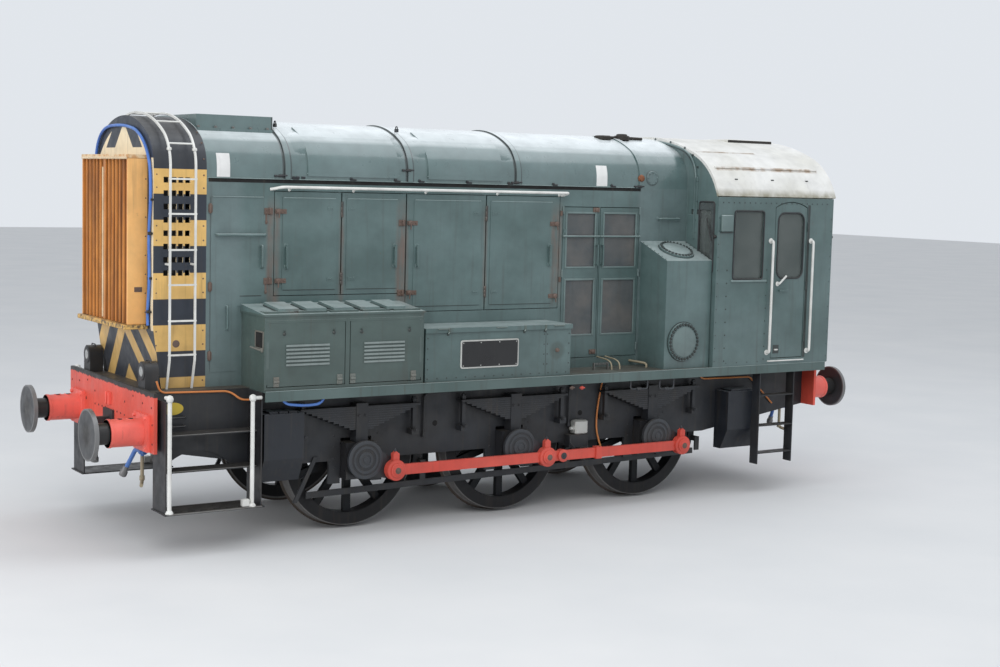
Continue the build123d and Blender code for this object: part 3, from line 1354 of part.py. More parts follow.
LOUVRE_TOP_Z = 1861.0
LOUVRE_COUNT = 6
LOUVRE_REACH = 12.0

with BuildPart() as battery_boxes:
    box_between(
        BATTERY_REAR_X, BATTERY_FRONT_X, BONNET_HALF_WIDTH, BATTERY_FACE_Y, PLATE_TOP_Z, BATTERY_TOP_Z
    )
    box_between(
        BATTERY_REAR_X - BATTERY_TOP_OVERHANG,
        BATTERY_FRONT_X + BATTERY_TOP_OVERHANG,
        BONNET_HALF_WIDTH,
        BATTERY_FACE_Y + BATTERY_TOP_OVERHANG,
        BATTERY_TOP_Z - BATTERY_TOP_PLATE,
        BATTERY_TOP_Z,
    )
    box_between(
        BATTERY_REAR_X + BATTERY_WALL,
        BATTERY_FRONT_X - BATTERY_WALL,
        BONNET_HALF_WIDTH + BATTERY_WALL,
        BATTERY_FACE_Y - LEAF_THICKNESS,
        PLATE_TOP_Z + BATTERY_WALL,
        BATTERY_TOP_Z - BATTERY_TOP_PLATE,
        mode=Mode.SUBTRACT,
    )
    for front_x, rear_x in ((BATTERY_FRONT_X, BATTERY_SPLIT_X), (BATTERY_SPLIT_X, BATTERY_REAR_X)):
        box_between(
            rear_x + BATTERY_POST,
            front_x - BATTERY_POST,
            BATTERY_FACE_Y - LEAF_THICKNESS - 1,
            BATTERY_FACE_Y + 1,
            LEAF_BOTTOM_Z,
            LEAF_TOP_Z,
            mode=Mode.SUBTRACT,
        )
    lid_pitch = (BATTERY_FRONT_X - BATTERY_REAR_X) / BATTERY_LIDS
    for lid in range(BATTERY_LIDS):
        lid_rear_x = BATTERY_REAR_X + lid_pitch * lid
        box_between(
            lid_rear_x + BATTERY_LID_GAP,
            lid_rear_x + lid_pitch - BATTERY_LID_GAP,
            BONNET_HALF_WIDTH + 60,
            BATTERY_FACE_Y - 40,
            BATTERY_TOP_Z,
            BATTERY_TOP_Z + BATTERY_LID_RISE,
        )
    mirror(about=Plane.XZ)
finish(battery_boxes.part, "battery_boxes")


def battery_leaf(sign, front_x, rear_x, louvre_front, louvre_rear):
    louvre_pitch = (LOUVRE_TOP_Z - LOUVRE_BOTTOM_Z) / LOUVRE_COUNT
    with BuildPart() as leaf:
        box_between(
            rear_x + BATTERY_POST + DOOR_GAP,
            front_x - BATTERY_POST - DOOR_GAP,
            sign * (BATTERY_FACE_Y - LEAF_THICKNESS),
            sign * BATTERY_FACE_Y,
            LEAF_BOTTOM_Z + DOOR_GAP,
            LEAF_TOP_Z - DOOR_GAP,
        )
        for louvre in range(LOUVRE_COUNT):
            louvre_z = LOUVRE_BOTTOM_Z + louvre_pitch * (louvre + 0.5)
            box_between(
                louvre_rear,
                louvre_front,
                sign * BATTERY_FACE_Y,
                sign * (BATTERY_FACE_Y + LOUVRE_REACH),
                louvre_z - louvre_pitch * 0.3,
                louvre_z + louvre_pitch * 0.2,
            )
    return leaf.part


for side, sign in (("left", 1), ("right", -1)):
    for name, front_x, rear_x, louvre_front, louvre_rear in BATTERY_LEAVES:
        finish(battery_leaf(sign, front_x, rear_x, louvre_front, louvre_rear), f"{name}_{side}")


# Tool boxes: open-topped, with a lid hinged along the bonnet
TOOL_FRONT_X = 1287.0
TOOL_REAR_X = -410.0
TOOL_SPLIT_X = -105.0
TOOL_FACE_Y = HALF_WIDTH - 45.5
TOOL_TOP_Z = 1955.0
TOOL_WALL = 12.0
LID_THICKNESS = 14.0
LID_GAP = 7.0
LID_OVERHANG = 8.0
LID_REACH = 20.0
LID_LIP = 45.0
LID_LIP_THICKNESS = 12.0
LID_BACK_Y = BONNET_HALF_WIDTH + 14.0

with BuildPart() as tool_boxes:
    wall_top_z = TOOL_TOP_Z - LID_THICKNESS - LID_GAP
    box_between(TOOL_REAR_X, TOOL_FRONT_X, BONNET_HALF_WIDTH, TOOL_FACE_Y, PLATE_TOP_Z, wall_top_z)
    for low_x, high_x in ((TOOL_REAR_X, TOOL_SPLIT_X), (TOOL_SPLIT_X, TOOL_FRONT_X)):
        box_between(
            low_x + TOOL_WALL,
            high_x - TOOL_WALL,
            BONNET_HALF_WIDTH + TOOL_WALL,
            TOOL_FACE_Y - TOOL_WALL,
            PLATE_TOP_Z + TOOL_WALL,
            wall_top_z + 1,
            mode=Mode.SUBTRACT,
        )
    mirror(about=Plane.XZ)
finish(tool_boxes.part, "tool_boxes")


def tool_lid(sign):
    with BuildPart() as lid:
        box_between(
            TOOL_REAR_X - LID_OVERHANG,
            TOOL_FRONT_X + LID_OVERHANG,
            sign * LID_BACK_Y,
            sign * (TOOL_FACE_Y + LID_REACH),
            TOOL_TOP_Z - LID_THICKNESS,
            TOOL_TOP_Z,
        )
        box_between(
            TOOL_REAR_X - LID_OVERHANG,
            TOOL_FRONT_X + LID_OVERHANG,
            sign * (TOOL_FACE_Y + LID_REACH - LID_LIP_THICKNESS),
            sign * (TOOL_FACE_Y + LID_REACH),
            TOOL_TOP_Z - LID_LIP,
            TOOL_TOP_Z - LID_THICKNESS,
        )
    return lid.part


finish(tool_lid(1), "tool_lid_left")
finish(tool_lid(-1), "tool_lid_right")


# Fuel tanks: tall tanks against the cab front with a sloping top and round bolted covers
TANK_REAR_X = CAB_FRONT_X + 12.0
TANK_FRONT_X = CAB_FRONT_X + 622.0
TANK_FACE_Y = HALF_WIDTH - 65.5
TANK_EDGE_Z = 2582.0
TANK_BACK_Z = 2770.0
TANK_COVER_X = CAB_FRONT_X + 375.0
TANK_COVER_Z = 1722.0
TANK_COVER_RADIUS = 205.0
TANK_TOP_COVER_RADIUS = 190.0
TANK_COVER_THICKNESS = 22.0

with BuildPart() as fuel_tanks:
    with BuildSketch(cross_plane(TANK_REAR_X)):
        with BuildLine():
            Polyline(
                (BONNET_HALF_WIDTH, PLATE_TOP_Z),
                (TANK_FACE_Y, PLATE_TOP_Z),
                (TANK_FACE_Y, TANK_EDGE_Z),
                (BONNET_HALF_WIDTH, TANK_BACK_Z),
                close=True,
            )
        make_face()
    extrude(amount=TANK_FRONT_X - TANK_REAR_X)
    cover_y = TANK_FACE_Y + TANK_COVER_THICKNESS / 2
    rod_along("y", TANK_COVER_X, cover_y, TANK_COVER_Z, TANK_COVER_RADIUS, TANK_COVER_THICKNESS)
    top_slope = math.degrees(math.atan2(TANK_BACK_Z - TANK_EDGE_Z, TANK_FACE_Y - BONNET_HALF_WIDTH))
    top_middle = (
        (TANK_FRONT_X + TANK_REAR_X) / 2,
        (TANK_FACE_Y + BONNET_HALF_WIDTH) / 2,
        (TANK_EDGE_Z + TANK_BACK_Z) / 2,
    )
    with Locations(Location(top_middle, (-top_slope, 0, 0))):
        Cylinder(TANK_TOP_COVER_RADIUS, 2 * TANK_COVER_THICKNESS)
    mirror(about=Plane.XZ)
finish(fuel_tanks.part, "fuel_tanks")


# Cab section: upright walls, shoulders and a crown whose radius follows from the width
SHOULDER_END = math.radians(CAB_CROWN_HALF_ANGLE + CAB_SHOULDER_TURN)
CROWN_END = math.radians(CAB_CROWN_HALF_ANGLE)
SHOULDER_CENTRE_Y = CAB_HALF_WIDTH + 0.5 - CAB_SHOULDER_RADIUS * math.sin(SHOULDER_END)
CAB_CROWN_RADIUS = CAB_SHOULDER_RADIUS + SHOULDER_CENTRE_Y / math.sin(CROWN_END)
ROOF_CENTRE_Z = TOP_Z - CAB_CROWN_RADIUS


def arch_point(drop, angle_deg):
    """A point of the roof arch, in Y and Z, at an angle from upright, a drop inside its outer face."""
    angle = math.radians(angle_deg)
    if abs(angle_deg) <= CAB_CROWN_HALF_ANGLE:
        radius = CAB_CROWN_RADIUS - drop
        return radius * math.sin(angle), ROOF_CENTRE_Z + radius * math.cos(angle)
    joint = math.radians(math.copysign(CAB_CROWN_HALF_ANGLE, angle_deg))
    reach = CAB_CROWN_RADIUS - CAB_SHOULDER_RADIUS
    radius = CAB_SHOULDER_RADIUS - drop
    return (
        reach * math.sin(joint) + radius * math.sin(angle),
        ROOF_CENTRE_Z + reach * math.cos(joint) + radius * math.cos(angle),
    )


CAB_EAVE_Z = arch_point(0, CAB_CROWN_HALF_ANGLE + CAB_SHOULDER_TURN)[1] - CAB_EAVE_DROP


def arch_lines(drop):
    """The arch in the line being built, from the +Y eave to the -Y eave. Gives its two ends."""
    crown = CAB_CROWN_HALF_ANGLE
    eave = crown + CAB_SHOULDER_TURN
    middle = crown + CAB_SHOULDER_TURN / 2
    ThreePointArc(arch_point(drop, eave), arch_point(drop, middle), arch_point(drop, crown))
    ThreePointArc(arch_point(drop, crown), arch_point(drop, 0), arch_point(drop, -crown))
    ThreePointArc(arch_point(drop, -crown), arch_point(drop, -middle), arch_point(drop, -eave))
    return arch_point(drop, eave), arch_point(drop, -eave)


def cab_face(half_width, floor_z):
    """The cab's section as a face: upright sides to the eaves, then the arch under the roof."""
    with BuildLine() as outline:
        right, left = arch_lines(CAB_ROOF_SKIN)
        Polyline(
            left,
            (-half_width, CAB_EAVE_Z),
            (-half_width, floor_z),
            (half_width, floor_z),
            (half_width, CAB_EAVE_Z),
            right,
        )
    make_face(outline.edges())


# Cab: hollow walls with windows and door openings, arched end walls, an arched roof with rain strips
CAB_DOOR_REAR_X = CAB_REAR_X + 390.7
CAB_DOOR_FRONT_X = CAB_DOOR_REAR_X + 473.0
CAB_DOOR_TOP_Z = CAB_EAVE_Z - 38.0
CAB_DOOR_ARCH_RISE = 60.0
CAB_DOOR_THICKNESS = 32.0
CAB_DOOR_GAP = 8.0
CAB_DOOR_FACE_Y = CAB_HALF_WIDTH - 2.0
SIDE_WINDOW_X = (CAB_FRONT_X - 659.0, CAB_FRONT_X - 233.0)
SIDE_WINDOW_Z = (2381.0, CAB_EAVE_Z - 146.0)
END_WINDOW_Y = (CAB_HALF_WIDTH - 450.0, CAB_HALF_WIDTH - 110.0)
END_WINDOW_Z = (2450.0, CAB_EAVE_Z - 142.0)
DOOR_WINDOW_X = (CAB_DOOR_REAR_X + 45.0, CAB_DOOR_FRONT_X - 45.0)
DOOR_WINDOW_Z = (2384.0, CAB_EAVE_Z - 161.0)
DOOR_WINDOW_CORNER = 90.0
GLASS_THICKNESS = 8.0
GLASS_FIT = 0.5
RAIN_STRIP_ANGLE = 44.0
RAIN_STRIP_SPAN = (CAB_REAR_X + 120.0, CAB_FRONT_X - 80.0)
RAIN_STRIP_SIZE = 24.0


def end_window_faces(inset):
    for side in (1, -1):
        with Locations((side * sum(END_WINDOW_Y) / 2, sum(END_WINDOW_Z) / 2)):
            Rectangle(
                END_WINDOW_Y[1] - END_WINDOW_Y[0] - 2 * inset, END_WINDOW_Z[1] - END_WINDOW_Z[0] - 2 * inset
            )


def side_window_face(inset):
    with Locations((sum(SIDE_WINDOW_X) / 2, sum(SIDE_WINDOW_Z) / 2)):
        Rectangle(
            SIDE_WINDOW_X[1] - SIDE_WINDOW_X[0] - 2 * inset, SIDE_WINDOW_Z[1] - SIDE_WINDOW_Z[0] - 2 * inset
        )


def door_face(inset):
    """A door's outline: square at the floor, with a flat arch at the top."""
    low_x, high_x = CAB_DOOR_REAR_X + inset, CAB_DOOR_FRONT_X - inset
    low_z, top_z = CAB_FLOOR_TOP_Z + inset, CAB_DOOR_TOP_Z - inset
    spring_z = top_z - CAB_DOOR_ARCH_RISE
    with BuildLine() as outline:
        Polyline((low_x, spring_z), (low_x, low_z), (high_x, low_z), (high_x, spring_z))
        ThreePointArc((high_x, spring_z), ((low_x + high_x) / 2, top_z), (low_x, spring_z))
    make_face(outline.edges())


with BuildPart() as cab_body:
    with BuildSketch(cross_plane(CAB_REAR_X)):
        cab_face(CAB_HALF_WIDTH, PLATE_TOP_Z)
    extrude(amount=CAB_LENGTH)
    with BuildSketch(cross_plane(CAB_REAR_X + CAB_WALL)):
        cab_face(CAB_HALF_WIDTH - CAB_WALL, CAB_FLOOR_TOP_Z)
    extrude(amount=CAB_LENGTH - 2 * CAB_WALL, mode=Mode.SUBTRACT)
    with BuildSketch(side_plane(CAB_HALF_WIDTH + 1)):
        side_window_face(0)
        door_face(0)
    extrude(amount=2 * CAB_HALF_WIDTH + 2, mode=Mode.SUBTRACT)
    with BuildSketch(cross_plane(CAB_REAR_X - 1)):
        end_window_faces(0)
    extrude(amount=CAB_LENGTH + 2, mode=Mode.SUBTRACT)
finish(cab_body.part, "cab_body")

with BuildPart() as cab_roof:
    with BuildSketch(cross_plane(CAB_REAR_X - CAB_ROOF_OVERHANG)):
        with BuildLine():
            outer_right, outer_left = arch_lines(0)
            inner_right, inner_left = arch_lines(CAB_ROOF_SKIN)
            Line(outer_right, inner_right)
            Line(outer_left, inner_left)
        make_face()
    extrude(amount=CAB_LENGTH + CAB_ROOF_OVERHANG)
    strip_y, strip_z = arch_point(0, RAIN_STRIP_ANGLE)
    for side in (1, -1):
        with Locations(
            Location((sum(RAIN_STRIP_SPAN) / 2, side * strip_y, strip_z), (-side * RAIN_STRIP_ANGLE, 0, 0))
        ):
            Box(RAIN_STRIP_SPAN[1] - RAIN_STRIP_SPAN[0], RAIN_STRIP_SIZE, RAIN_STRIP_SIZE)
finish(cab_roof.part, "cab_roof")

with BuildPart() as cab_windows:
    with BuildSketch(side_plane(CAB_HALF_WIDTH - CAB_WALL / 2)):
        side_window_face(GLASS_FIT)
    extrude(amount=GLASS_THICKNESS / 2, both=True)
    mirror(about=Plane.XZ)
    for glass_x in (CAB_REAR_X + CAB_WALL / 2, CAB_FRONT_X - CAB_WALL / 2):
        with BuildSketch(cross_plane(glass_x)):
            end_window_faces(GLASS_FIT)
        extrude(amount=GLASS_THICKNESS / 2, both=True)
finish(cab_windows.part, "cab_windows")


# Cab doors: one each side, with a window and a lever handle
LEVER_Z = 2250.0
LEVER_LENGTH = 120.0
LEVER_BAR = 18.0
LEVER_REACH = 30.0
LEVER_EDGE = 90.0


def cab_door(sign):
    with BuildPart() as door:
        with BuildSketch(side_plane(CAB_DOOR_FACE_Y)):
            door_face(CAB_DOOR_GAP)
            rounded_window(
                (DOOR_WINDOW_X[0], DOOR_WINDOW_Z[0]),
                (DOOR_WINDOW_X[1], DOOR_WINDOW_Z[1]),
                DOOR_WINDOW_CORNER,
                mode=Mode.SUBTRACT,
            )
        extrude(amount=CAB_DOOR_THICKNESS)
        lever_x = CAB_DOOR_FRONT_X - LEVER_EDGE
        lever_face_y = CAB_DOOR_FACE_Y + LEVER_REACH
        box_between(
            lever_x - LEVER_BAR / 2,
            lever_x + LEVER_BAR / 2,
            CAB_DOOR_FACE_Y,
            lever_face_y,
            LEVER_Z - LEVER_BAR / 2,
            LEVER_Z + LEVER_BAR / 2,
        )
        box_between(
            lever_x - LEVER_LENGTH,
            lever_x - LEVER_BAR / 2,
            lever_face_y - LEVER_BAR / 2,
            lever_face_y,
            LEVER_Z - LEVER_BAR / 2,
            LEVER_Z + LEVER_BAR / 2,
        )
        if sign < 0:
            mirror(about=Plane.XZ, mode=Mode.REPLACE)
    return door.part


def cab_door_glass(sign):
    with BuildPart() as glass:
        with BuildSketch(side_plane(CAB_DOOR_FACE_Y - CAB_DOOR_THICKNESS / 2)):
            rounded_window(
                (DOOR_WINDOW_X[0] + GLASS_FIT, DOOR_WINDOW_Z[0] + GLASS_FIT),
                (DOOR_WINDOW_X[1] - GLASS_FIT, DOOR_WINDOW_Z[1] - GLASS_FIT),
                DOOR_WINDOW_CORNER - GLASS_FIT,
            )
        extrude(amount=GLASS_THICKNESS / 2, both=True)
        if sign < 0:
            mirror(about=Plane.XZ, mode=Mode.REPLACE)
    return glass.part


for side, sign in (("left", 1), ("right", -1)):
    finish(cab_door(sign), f"cab_door_{side}")
    finish(cab_door_glass(sign), f"cab_door_glass_{side}")


# Cab desk and seats, seen through the windows
DESK_DEPTH = 380.0
DESK_HALF_WIDTH = 560.0
DESK_TOP_Z = CAB_FLOOR_TOP_Z + 919.0
SEAT_X = CAB_FRONT_X - 528.0
SEAT_Y = CAB_HALF_WIDTH - 430.0
SEAT_HEIGHT = 500.0
SEAT_THICKNESS = 80.0
SEAT_SIZE = 370.0
SEAT_POST = 80.0

with BuildPart() as cab_fittings:
    desk_front_x = CAB_FRONT_X - CAB_WALL
    box_between(
        desk_front_x - DESK_DEPTH,
        desk_front_x,
        -DESK_HALF_WIDTH,
        DESK_HALF_WIDTH,
        CAB_FLOOR_TOP_Z,
        DESK_TOP_Z,
    )
    for side in (1, -1):
        with Locations((SEAT_X, side * SEAT_Y, CAB_FLOOR_TOP_Z + SEAT_HEIGHT / 2)):
            Box(SEAT_POST, SEAT_POST, SEAT_HEIGHT)
        with Locations((SEAT_X, side * SEAT_Y, CAB_FLOOR_TOP_Z + SEAT_HEIGHT + SEAT_THICKNESS / 2)):
            Box(SEAT_SIZE, SEAT_SIZE, SEAT_THICKNESS)
finish(cab_fittings.part, "cab_fittings")


# Engine and generator: one plain block on the frame under the bonnet
ENGINE_X = (MIDDLE_AXLE_X - 1001.6, AXLE_XS["front"] + 845.8)
ENGINE_HALF_WIDTH = 420.0
ENGINE_TOP_Z = 2900.0

with BuildPart() as engine_block:
    box_between(
        ENGINE_X[0], ENGINE_X[1], -ENGINE_HALF_WIDTH, ENGINE_HALF_WIDTH, PLATE_TOP_Z, ENGINE_TOP_Z
    )
finish(engine_block.part, "engine_block")


# Lamps: round-topped boxes at the front corners of the running plate
LAMP_X = BEAM_FACE_X - 98.7
LAMP_Y = 740.0
LAMP_DEPTH = 130.0
LAMP_RADIUS = 88.0
LAMP_HEIGHT = 255.0

with BuildPart() as lamps:
    lamp_arch_z = PLATE_TOP_Z + LAMP_HEIGHT - LAMP_RADIUS
    for side in (1, -1):
        with BuildSketch(cross_plane(LAMP_X - LAMP_DEPTH / 2)):
            with Locations((side * LAMP_Y, (PLATE_TOP_Z + lamp_arch_z) / 2)):
                Rectangle(2 * LAMP_RADIUS, lamp_arch_z - PLATE_TOP_Z)
            with Locations((side * LAMP_Y, lamp_arch_z)):
                Circle(LAMP_RADIUS)
        extrude(amount=LAMP_DEPTH)
finish(lamps.part, "lamps")


# Pipes and conduits: the blue hose clipped round the nose and under the valance, and the orange conduits
NOSE_PIPE_X = NOSE_FACE_X + 17.0
AIR_PIPE_RADIUS = 13.0
PIPE_DROP = 12.0
VALANCE_PIPE_Y = HALF_WIDTH - 35.0
CONDUIT_RADIUS = 11.0
NOSE_PIPE_ROUTE = [
    # y, z around the front of the nose, from the right side over the top and down the left side
    (-700, 3452),
    (-640, 3575),
    (-495, 3700),
    (-300, 3770),
    (-75, 3792),
    (200, 3775),
    (400, 3722),
    (560, 3630),
    (680, 3480),
    (725, 3288),
    (720, 3020),
    (705, 2656),
    (685, 2000),
]
SIDE_CONDUIT_Y = STEP_PLATE_HALF_WIDTH + 15.0
FRAME_CONDUIT_Y = FRAME_OUTER_Y + 15.0


def pipe(points, radius):
    """An eight-sided tube along straight runs that meet in mitred corners."""
    with BuildPart() as run:
        with BuildLine() as route:
            Polyline(*points)
        start = Vector(*points[0])
        with BuildSketch(Plane(origin=start, z_dir=Vector(*points[1]) - start)):
            RegularPolygon(radius, 8)
        sweep(path=route.wire(), transition=Transition.RIGHT)
    return run.part


AIR_PIPE_ROUTES = [
    [(NOSE_PIPE_X, y, z) for y, z in NOSE_PIPE_ROUTE],
    [
        (AXLE_XS["front"] + 955, VALANCE_PIPE_Y, PLATE_BOTTOM_Z - PIPE_DROP),
        (AXLE_XS["front"] + 900, VALANCE_PIPE_Y, PLATE_BOTTOM_Z - 113),
        (AXLE_XS["front"] + 700, VALANCE_PIPE_Y, PLATE_BOTTOM_Z - 138),
        (AXLE_XS["front"] + 533, VALANCE_PIPE_Y, PLATE_BOTTOM_Z - 128),
        (AXLE_XS["front"] + 480, VALANCE_PIPE_Y, PLATE_BOTTOM_Z - PIPE_DROP),
    ],
]
CONDUIT_ROUTES = [
    [
        (FRONT_STEP_FRONT_X - 20, SIDE_CONDUIT_Y, PLATE_TOP_Z + 100),
        (FRONT_STEP_FRONT_X - 55, SIDE_CONDUIT_Y, PLATE_TOP_Z - 5),
        (FRONT_STEP_REAR_X + 200, SIDE_CONDUIT_Y, PLATE_TOP_Z - 20),
        (FRONT_STEP_REAR_X + 110, SIDE_CONDUIT_Y + 60, PLATE_TOP_Z - 100),
        (FRONT_STEP_REAR_X + STEP_PLATE, SIDE_CONDUIT_Y + 60, PLATE_TOP_Z - 100),
    ],
    [
        (MIDDLE_AXLE_X - 994, FRAME_CONDUIT_Y, PLATE_BOTTOM_Z - PIPE_DROP),
        (MIDDLE_AXLE_X - 934, FRAME_CONDUIT_Y, AXLE_Z + 462),
        (MIDDLE_AXLE_X - 922, FRAME_CONDUIT_Y, AXLE_Z + 242),
        (MIDDLE_AXLE_X - 956, FRAME_CONDUIT_Y, AXLE_Z + 134),
    ],
    [
        (AXLE_XS["rear"] - 700, FRAME_CONDUIT_Y, PLATE_BOTTOM_Z - 100),
        (AXLE_XS["rear"] - 760, FRAME_CONDUIT_Y, PLATE_BOTTOM_Z - 155),
        (AXLE_XS["rear"] - 1450, FRAME_CONDUIT_Y, PLATE_BOTTOM_Z - 165),
        (AXLE_XS["rear"] - 1500, FRAME_CONDUIT_Y, PLATE_BOTTOM_Z - 210),
        (AXLE_XS["rear"] - 1800, FRAME_CONDUIT_Y, PLATE_BOTTOM_Z - 480),
    ],
]
finish_set([pipe(points, AIR_PIPE_RADIUS) for points in AIR_PIPE_ROUTES], "air_pipes")
finish_set([pipe(points, CONDUIT_RADIUS) for points in CONDUIT_ROUTES], "conduits")
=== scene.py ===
import math

import bmesh
import bpy
from mathutils import Matrix, Vector


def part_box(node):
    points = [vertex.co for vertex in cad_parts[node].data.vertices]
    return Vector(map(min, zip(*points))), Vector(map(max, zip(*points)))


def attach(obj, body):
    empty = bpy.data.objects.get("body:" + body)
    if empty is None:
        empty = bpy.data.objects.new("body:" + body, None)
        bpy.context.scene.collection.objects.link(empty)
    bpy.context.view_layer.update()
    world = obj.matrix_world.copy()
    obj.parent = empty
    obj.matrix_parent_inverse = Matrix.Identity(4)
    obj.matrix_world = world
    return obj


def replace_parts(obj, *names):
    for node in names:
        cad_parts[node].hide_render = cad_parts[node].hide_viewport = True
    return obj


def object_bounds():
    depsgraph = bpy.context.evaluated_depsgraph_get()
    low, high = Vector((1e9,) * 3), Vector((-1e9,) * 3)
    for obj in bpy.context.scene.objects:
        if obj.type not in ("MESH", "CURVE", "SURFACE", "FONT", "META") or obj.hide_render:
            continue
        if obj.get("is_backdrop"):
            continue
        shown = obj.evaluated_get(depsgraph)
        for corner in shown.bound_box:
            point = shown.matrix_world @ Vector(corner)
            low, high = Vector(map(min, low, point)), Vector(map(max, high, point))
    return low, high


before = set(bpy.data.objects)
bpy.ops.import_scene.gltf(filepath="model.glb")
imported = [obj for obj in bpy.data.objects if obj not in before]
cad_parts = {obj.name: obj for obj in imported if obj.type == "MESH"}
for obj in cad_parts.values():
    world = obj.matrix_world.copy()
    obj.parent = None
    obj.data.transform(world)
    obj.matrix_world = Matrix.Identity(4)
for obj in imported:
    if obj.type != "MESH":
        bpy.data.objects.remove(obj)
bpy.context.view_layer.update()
ROOT = "underframe_and_body"
scene = bpy.context.scene

OUT, UP, AHEAD, DOWN = (0, 1, 0), (0, 0, 1), (1, 0, 0), (0, 0, -1)
SIDES = ("left", "right")
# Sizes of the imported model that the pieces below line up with, in metres
BEAM_FACE_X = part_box("buffer_beams")[1][0]
AXLE_Z = 0.7145
BUFFER_Y, BUFFER_Z = 0.87, 1.0825
CRANK_RADIUS = 0.311
CAB_FRONT_X, CAB_REAR_X = -2.262, -3.9477
BONNET_Y, CAB_Y = 0.758, 1.2895
MESH_PITCH = 0.012
AXLE_X = {"front": 1.8542, "middle": 0.1016, "rear": -1.651}


# Materials
class Paint:
    """A node material. Its places are the row frame's, in metres, as every object sits at the origin."""

    def __init__(self, name, metallic=0.0, rough=0.5, **more):
        self.material = bpy.data.materials.new(name)
        self.material.use_nodes = True
        self.nodes = self.material.node_tree.nodes
        self.links = self.material.node_tree.links
        self.nodes.clear()
        out = self.nodes.new("ShaderNodeOutputMaterial")
        self.shader = self.nodes.new("ShaderNodeBsdfPrincipled")
        self.links.new(self.shader.outputs[0], out.inputs[0])
        self.shader.inputs["Metallic"].default_value = metallic
        self.shader.inputs["Roughness"].default_value = rough
        for key, value in more.items():
            self.shader.inputs[key.replace("_", " ")].default_value = value
        self.place = self.nodes.new("ShaderNodeTexCoord").outputs["Object"]
        self.height = None

    def link(self, value, socket):
        if isinstance(value, bpy.types.NodeSocket):
            self.links.new(value, socket)
        elif isinstance(value, (tuple, list)) and len(value) == 3 and socket.type == "RGBA":
            socket.default_value = (*value, 1)
        else:
            socket.default_value = value

    def noise(self, scale, detail=4.0, stretch=(1, 1, 1), rough=0.55, offset=(0, 0, 0)):
        mapping = self.nodes.new("ShaderNodeMapping")
        mapping.inputs["Scale"].default_value = stretch
        mapping.inputs["Location"].default_value = offset
        self.links.new(self.place, mapping.inputs[0])
        node = self.nodes.new("ShaderNodeTexNoise")
        self.links.new(mapping.outputs[0], node.inputs["Vector"])
        node.inputs["Scale"].default_value = scale
        node.inputs["Detail"].default_value = detail
        node.inputs["Roughness"].default_value = rough
        return node.outputs["Fac"]

    def ramp(self, value, low, high, a=0.0, b=1.0):
        node = self.nodes.new("ShaderNodeMapRange")
        for index, item in enumerate((value, low, high, a, b)):
            self.link(item, node.inputs[index])
        return node.outputs[0]

    def maths(self, kind, a, b=0.0):
        node = self.nodes.new("ShaderNodeMath")
        node.operation = kind
        self.link(a, node.inputs[0])
        self.link(b, node.inputs[1])
        return node.outputs[0]

    def times(self, a, b):
        return self.maths("MULTIPLY", a, b)

    def plus(self, a, b):
        return self.maths("ADD", a, b)

    def minus(self, a, b):
        return self.maths("SUBTRACT", a, b)

    def most(self, a, b):
        return self.maths("MAXIMUM", a, b)

    def size(self, a):
        return self.maths("ABSOLUTE", a)

    def flip(self, a):
        """1 where the share is 0, and 0 where it is 1."""
        return self.minus(1.0, a)

    def reach(self, a, b):
        """The distance from (0, 0) of a point at (a, b)."""
        squares = self.plus(self.maths("POWER", a, 2.0), self.maths("POWER", b, 2.0))
        return self.maths("SQRT", squares)

    def patches(self, scale, dull, pale, stretch=(1, 1, 1)):
        """Two shades of a colour in soft clouds."""
        return self.mix(self.ramp(self.noise(scale, 5, stretch), 0.36, 0.66), dull, pale)

    def mix(self, share, a, b):
        node = self.nodes.new("ShaderNodeMix")
        node.data_type = "RGBA"
        self.link(share, node.inputs[0])
        self.link(a, node.inputs[6])
        self.link(b, node.inputs[7])
        return node.outputs[2]

    def axes(self):
        node = self.nodes.new("ShaderNodeSeparateXYZ")
        self.links.new(self.place, node.inputs[0])
        return node.outputs

    def facing(self):
        """The surface's direction in X, Y and Z, each from -1 to 1."""
        geometry = self.nodes.new("ShaderNodeNewGeometry")
        node = self.nodes.new("ShaderNodeSeparateXYZ")
        self.links.new(geometry.outputs["Normal"], node.inputs[0])
        return node.outputs

    def step(self, value, edge, soft=0.002):
        """1 above the edge, 0 below."""
        return self.ramp(value, edge - soft, edge + soft)

    def band(self, value, low, high, soft=0.002):
        return self.times(self.step(value, low, soft), self.flip(self.step(value, high, soft)))

    def bump(self, value, strength=0.3, distance=0.003):
        node = self.nodes.new("ShaderNodeBump")
        node.inputs["Strength"].default_value = strength
        node.inputs["Distance"].default_value = distance
        self.links.new(value, node.inputs["Height"])
        if self.height is not None:
            self.links.new(self.height, node.inputs["Normal"])
        self.height = node.outputs[0]

    def done(self, colour, rough=None):
        self.link(colour, self.shader.inputs["Base Color"])
        if rough is not None:
            self.link(rough, self.shader.inputs["Roughness"])
        if self.height is not None:
            self.links.new(self.height, self.shader.inputs["Normal"])
        return self.material


RUST = (0.13, 0.05, 0.022)
DUST = (0.19, 0.165, 0.13)
SOOT = (0.012, 0.012, 0.013)


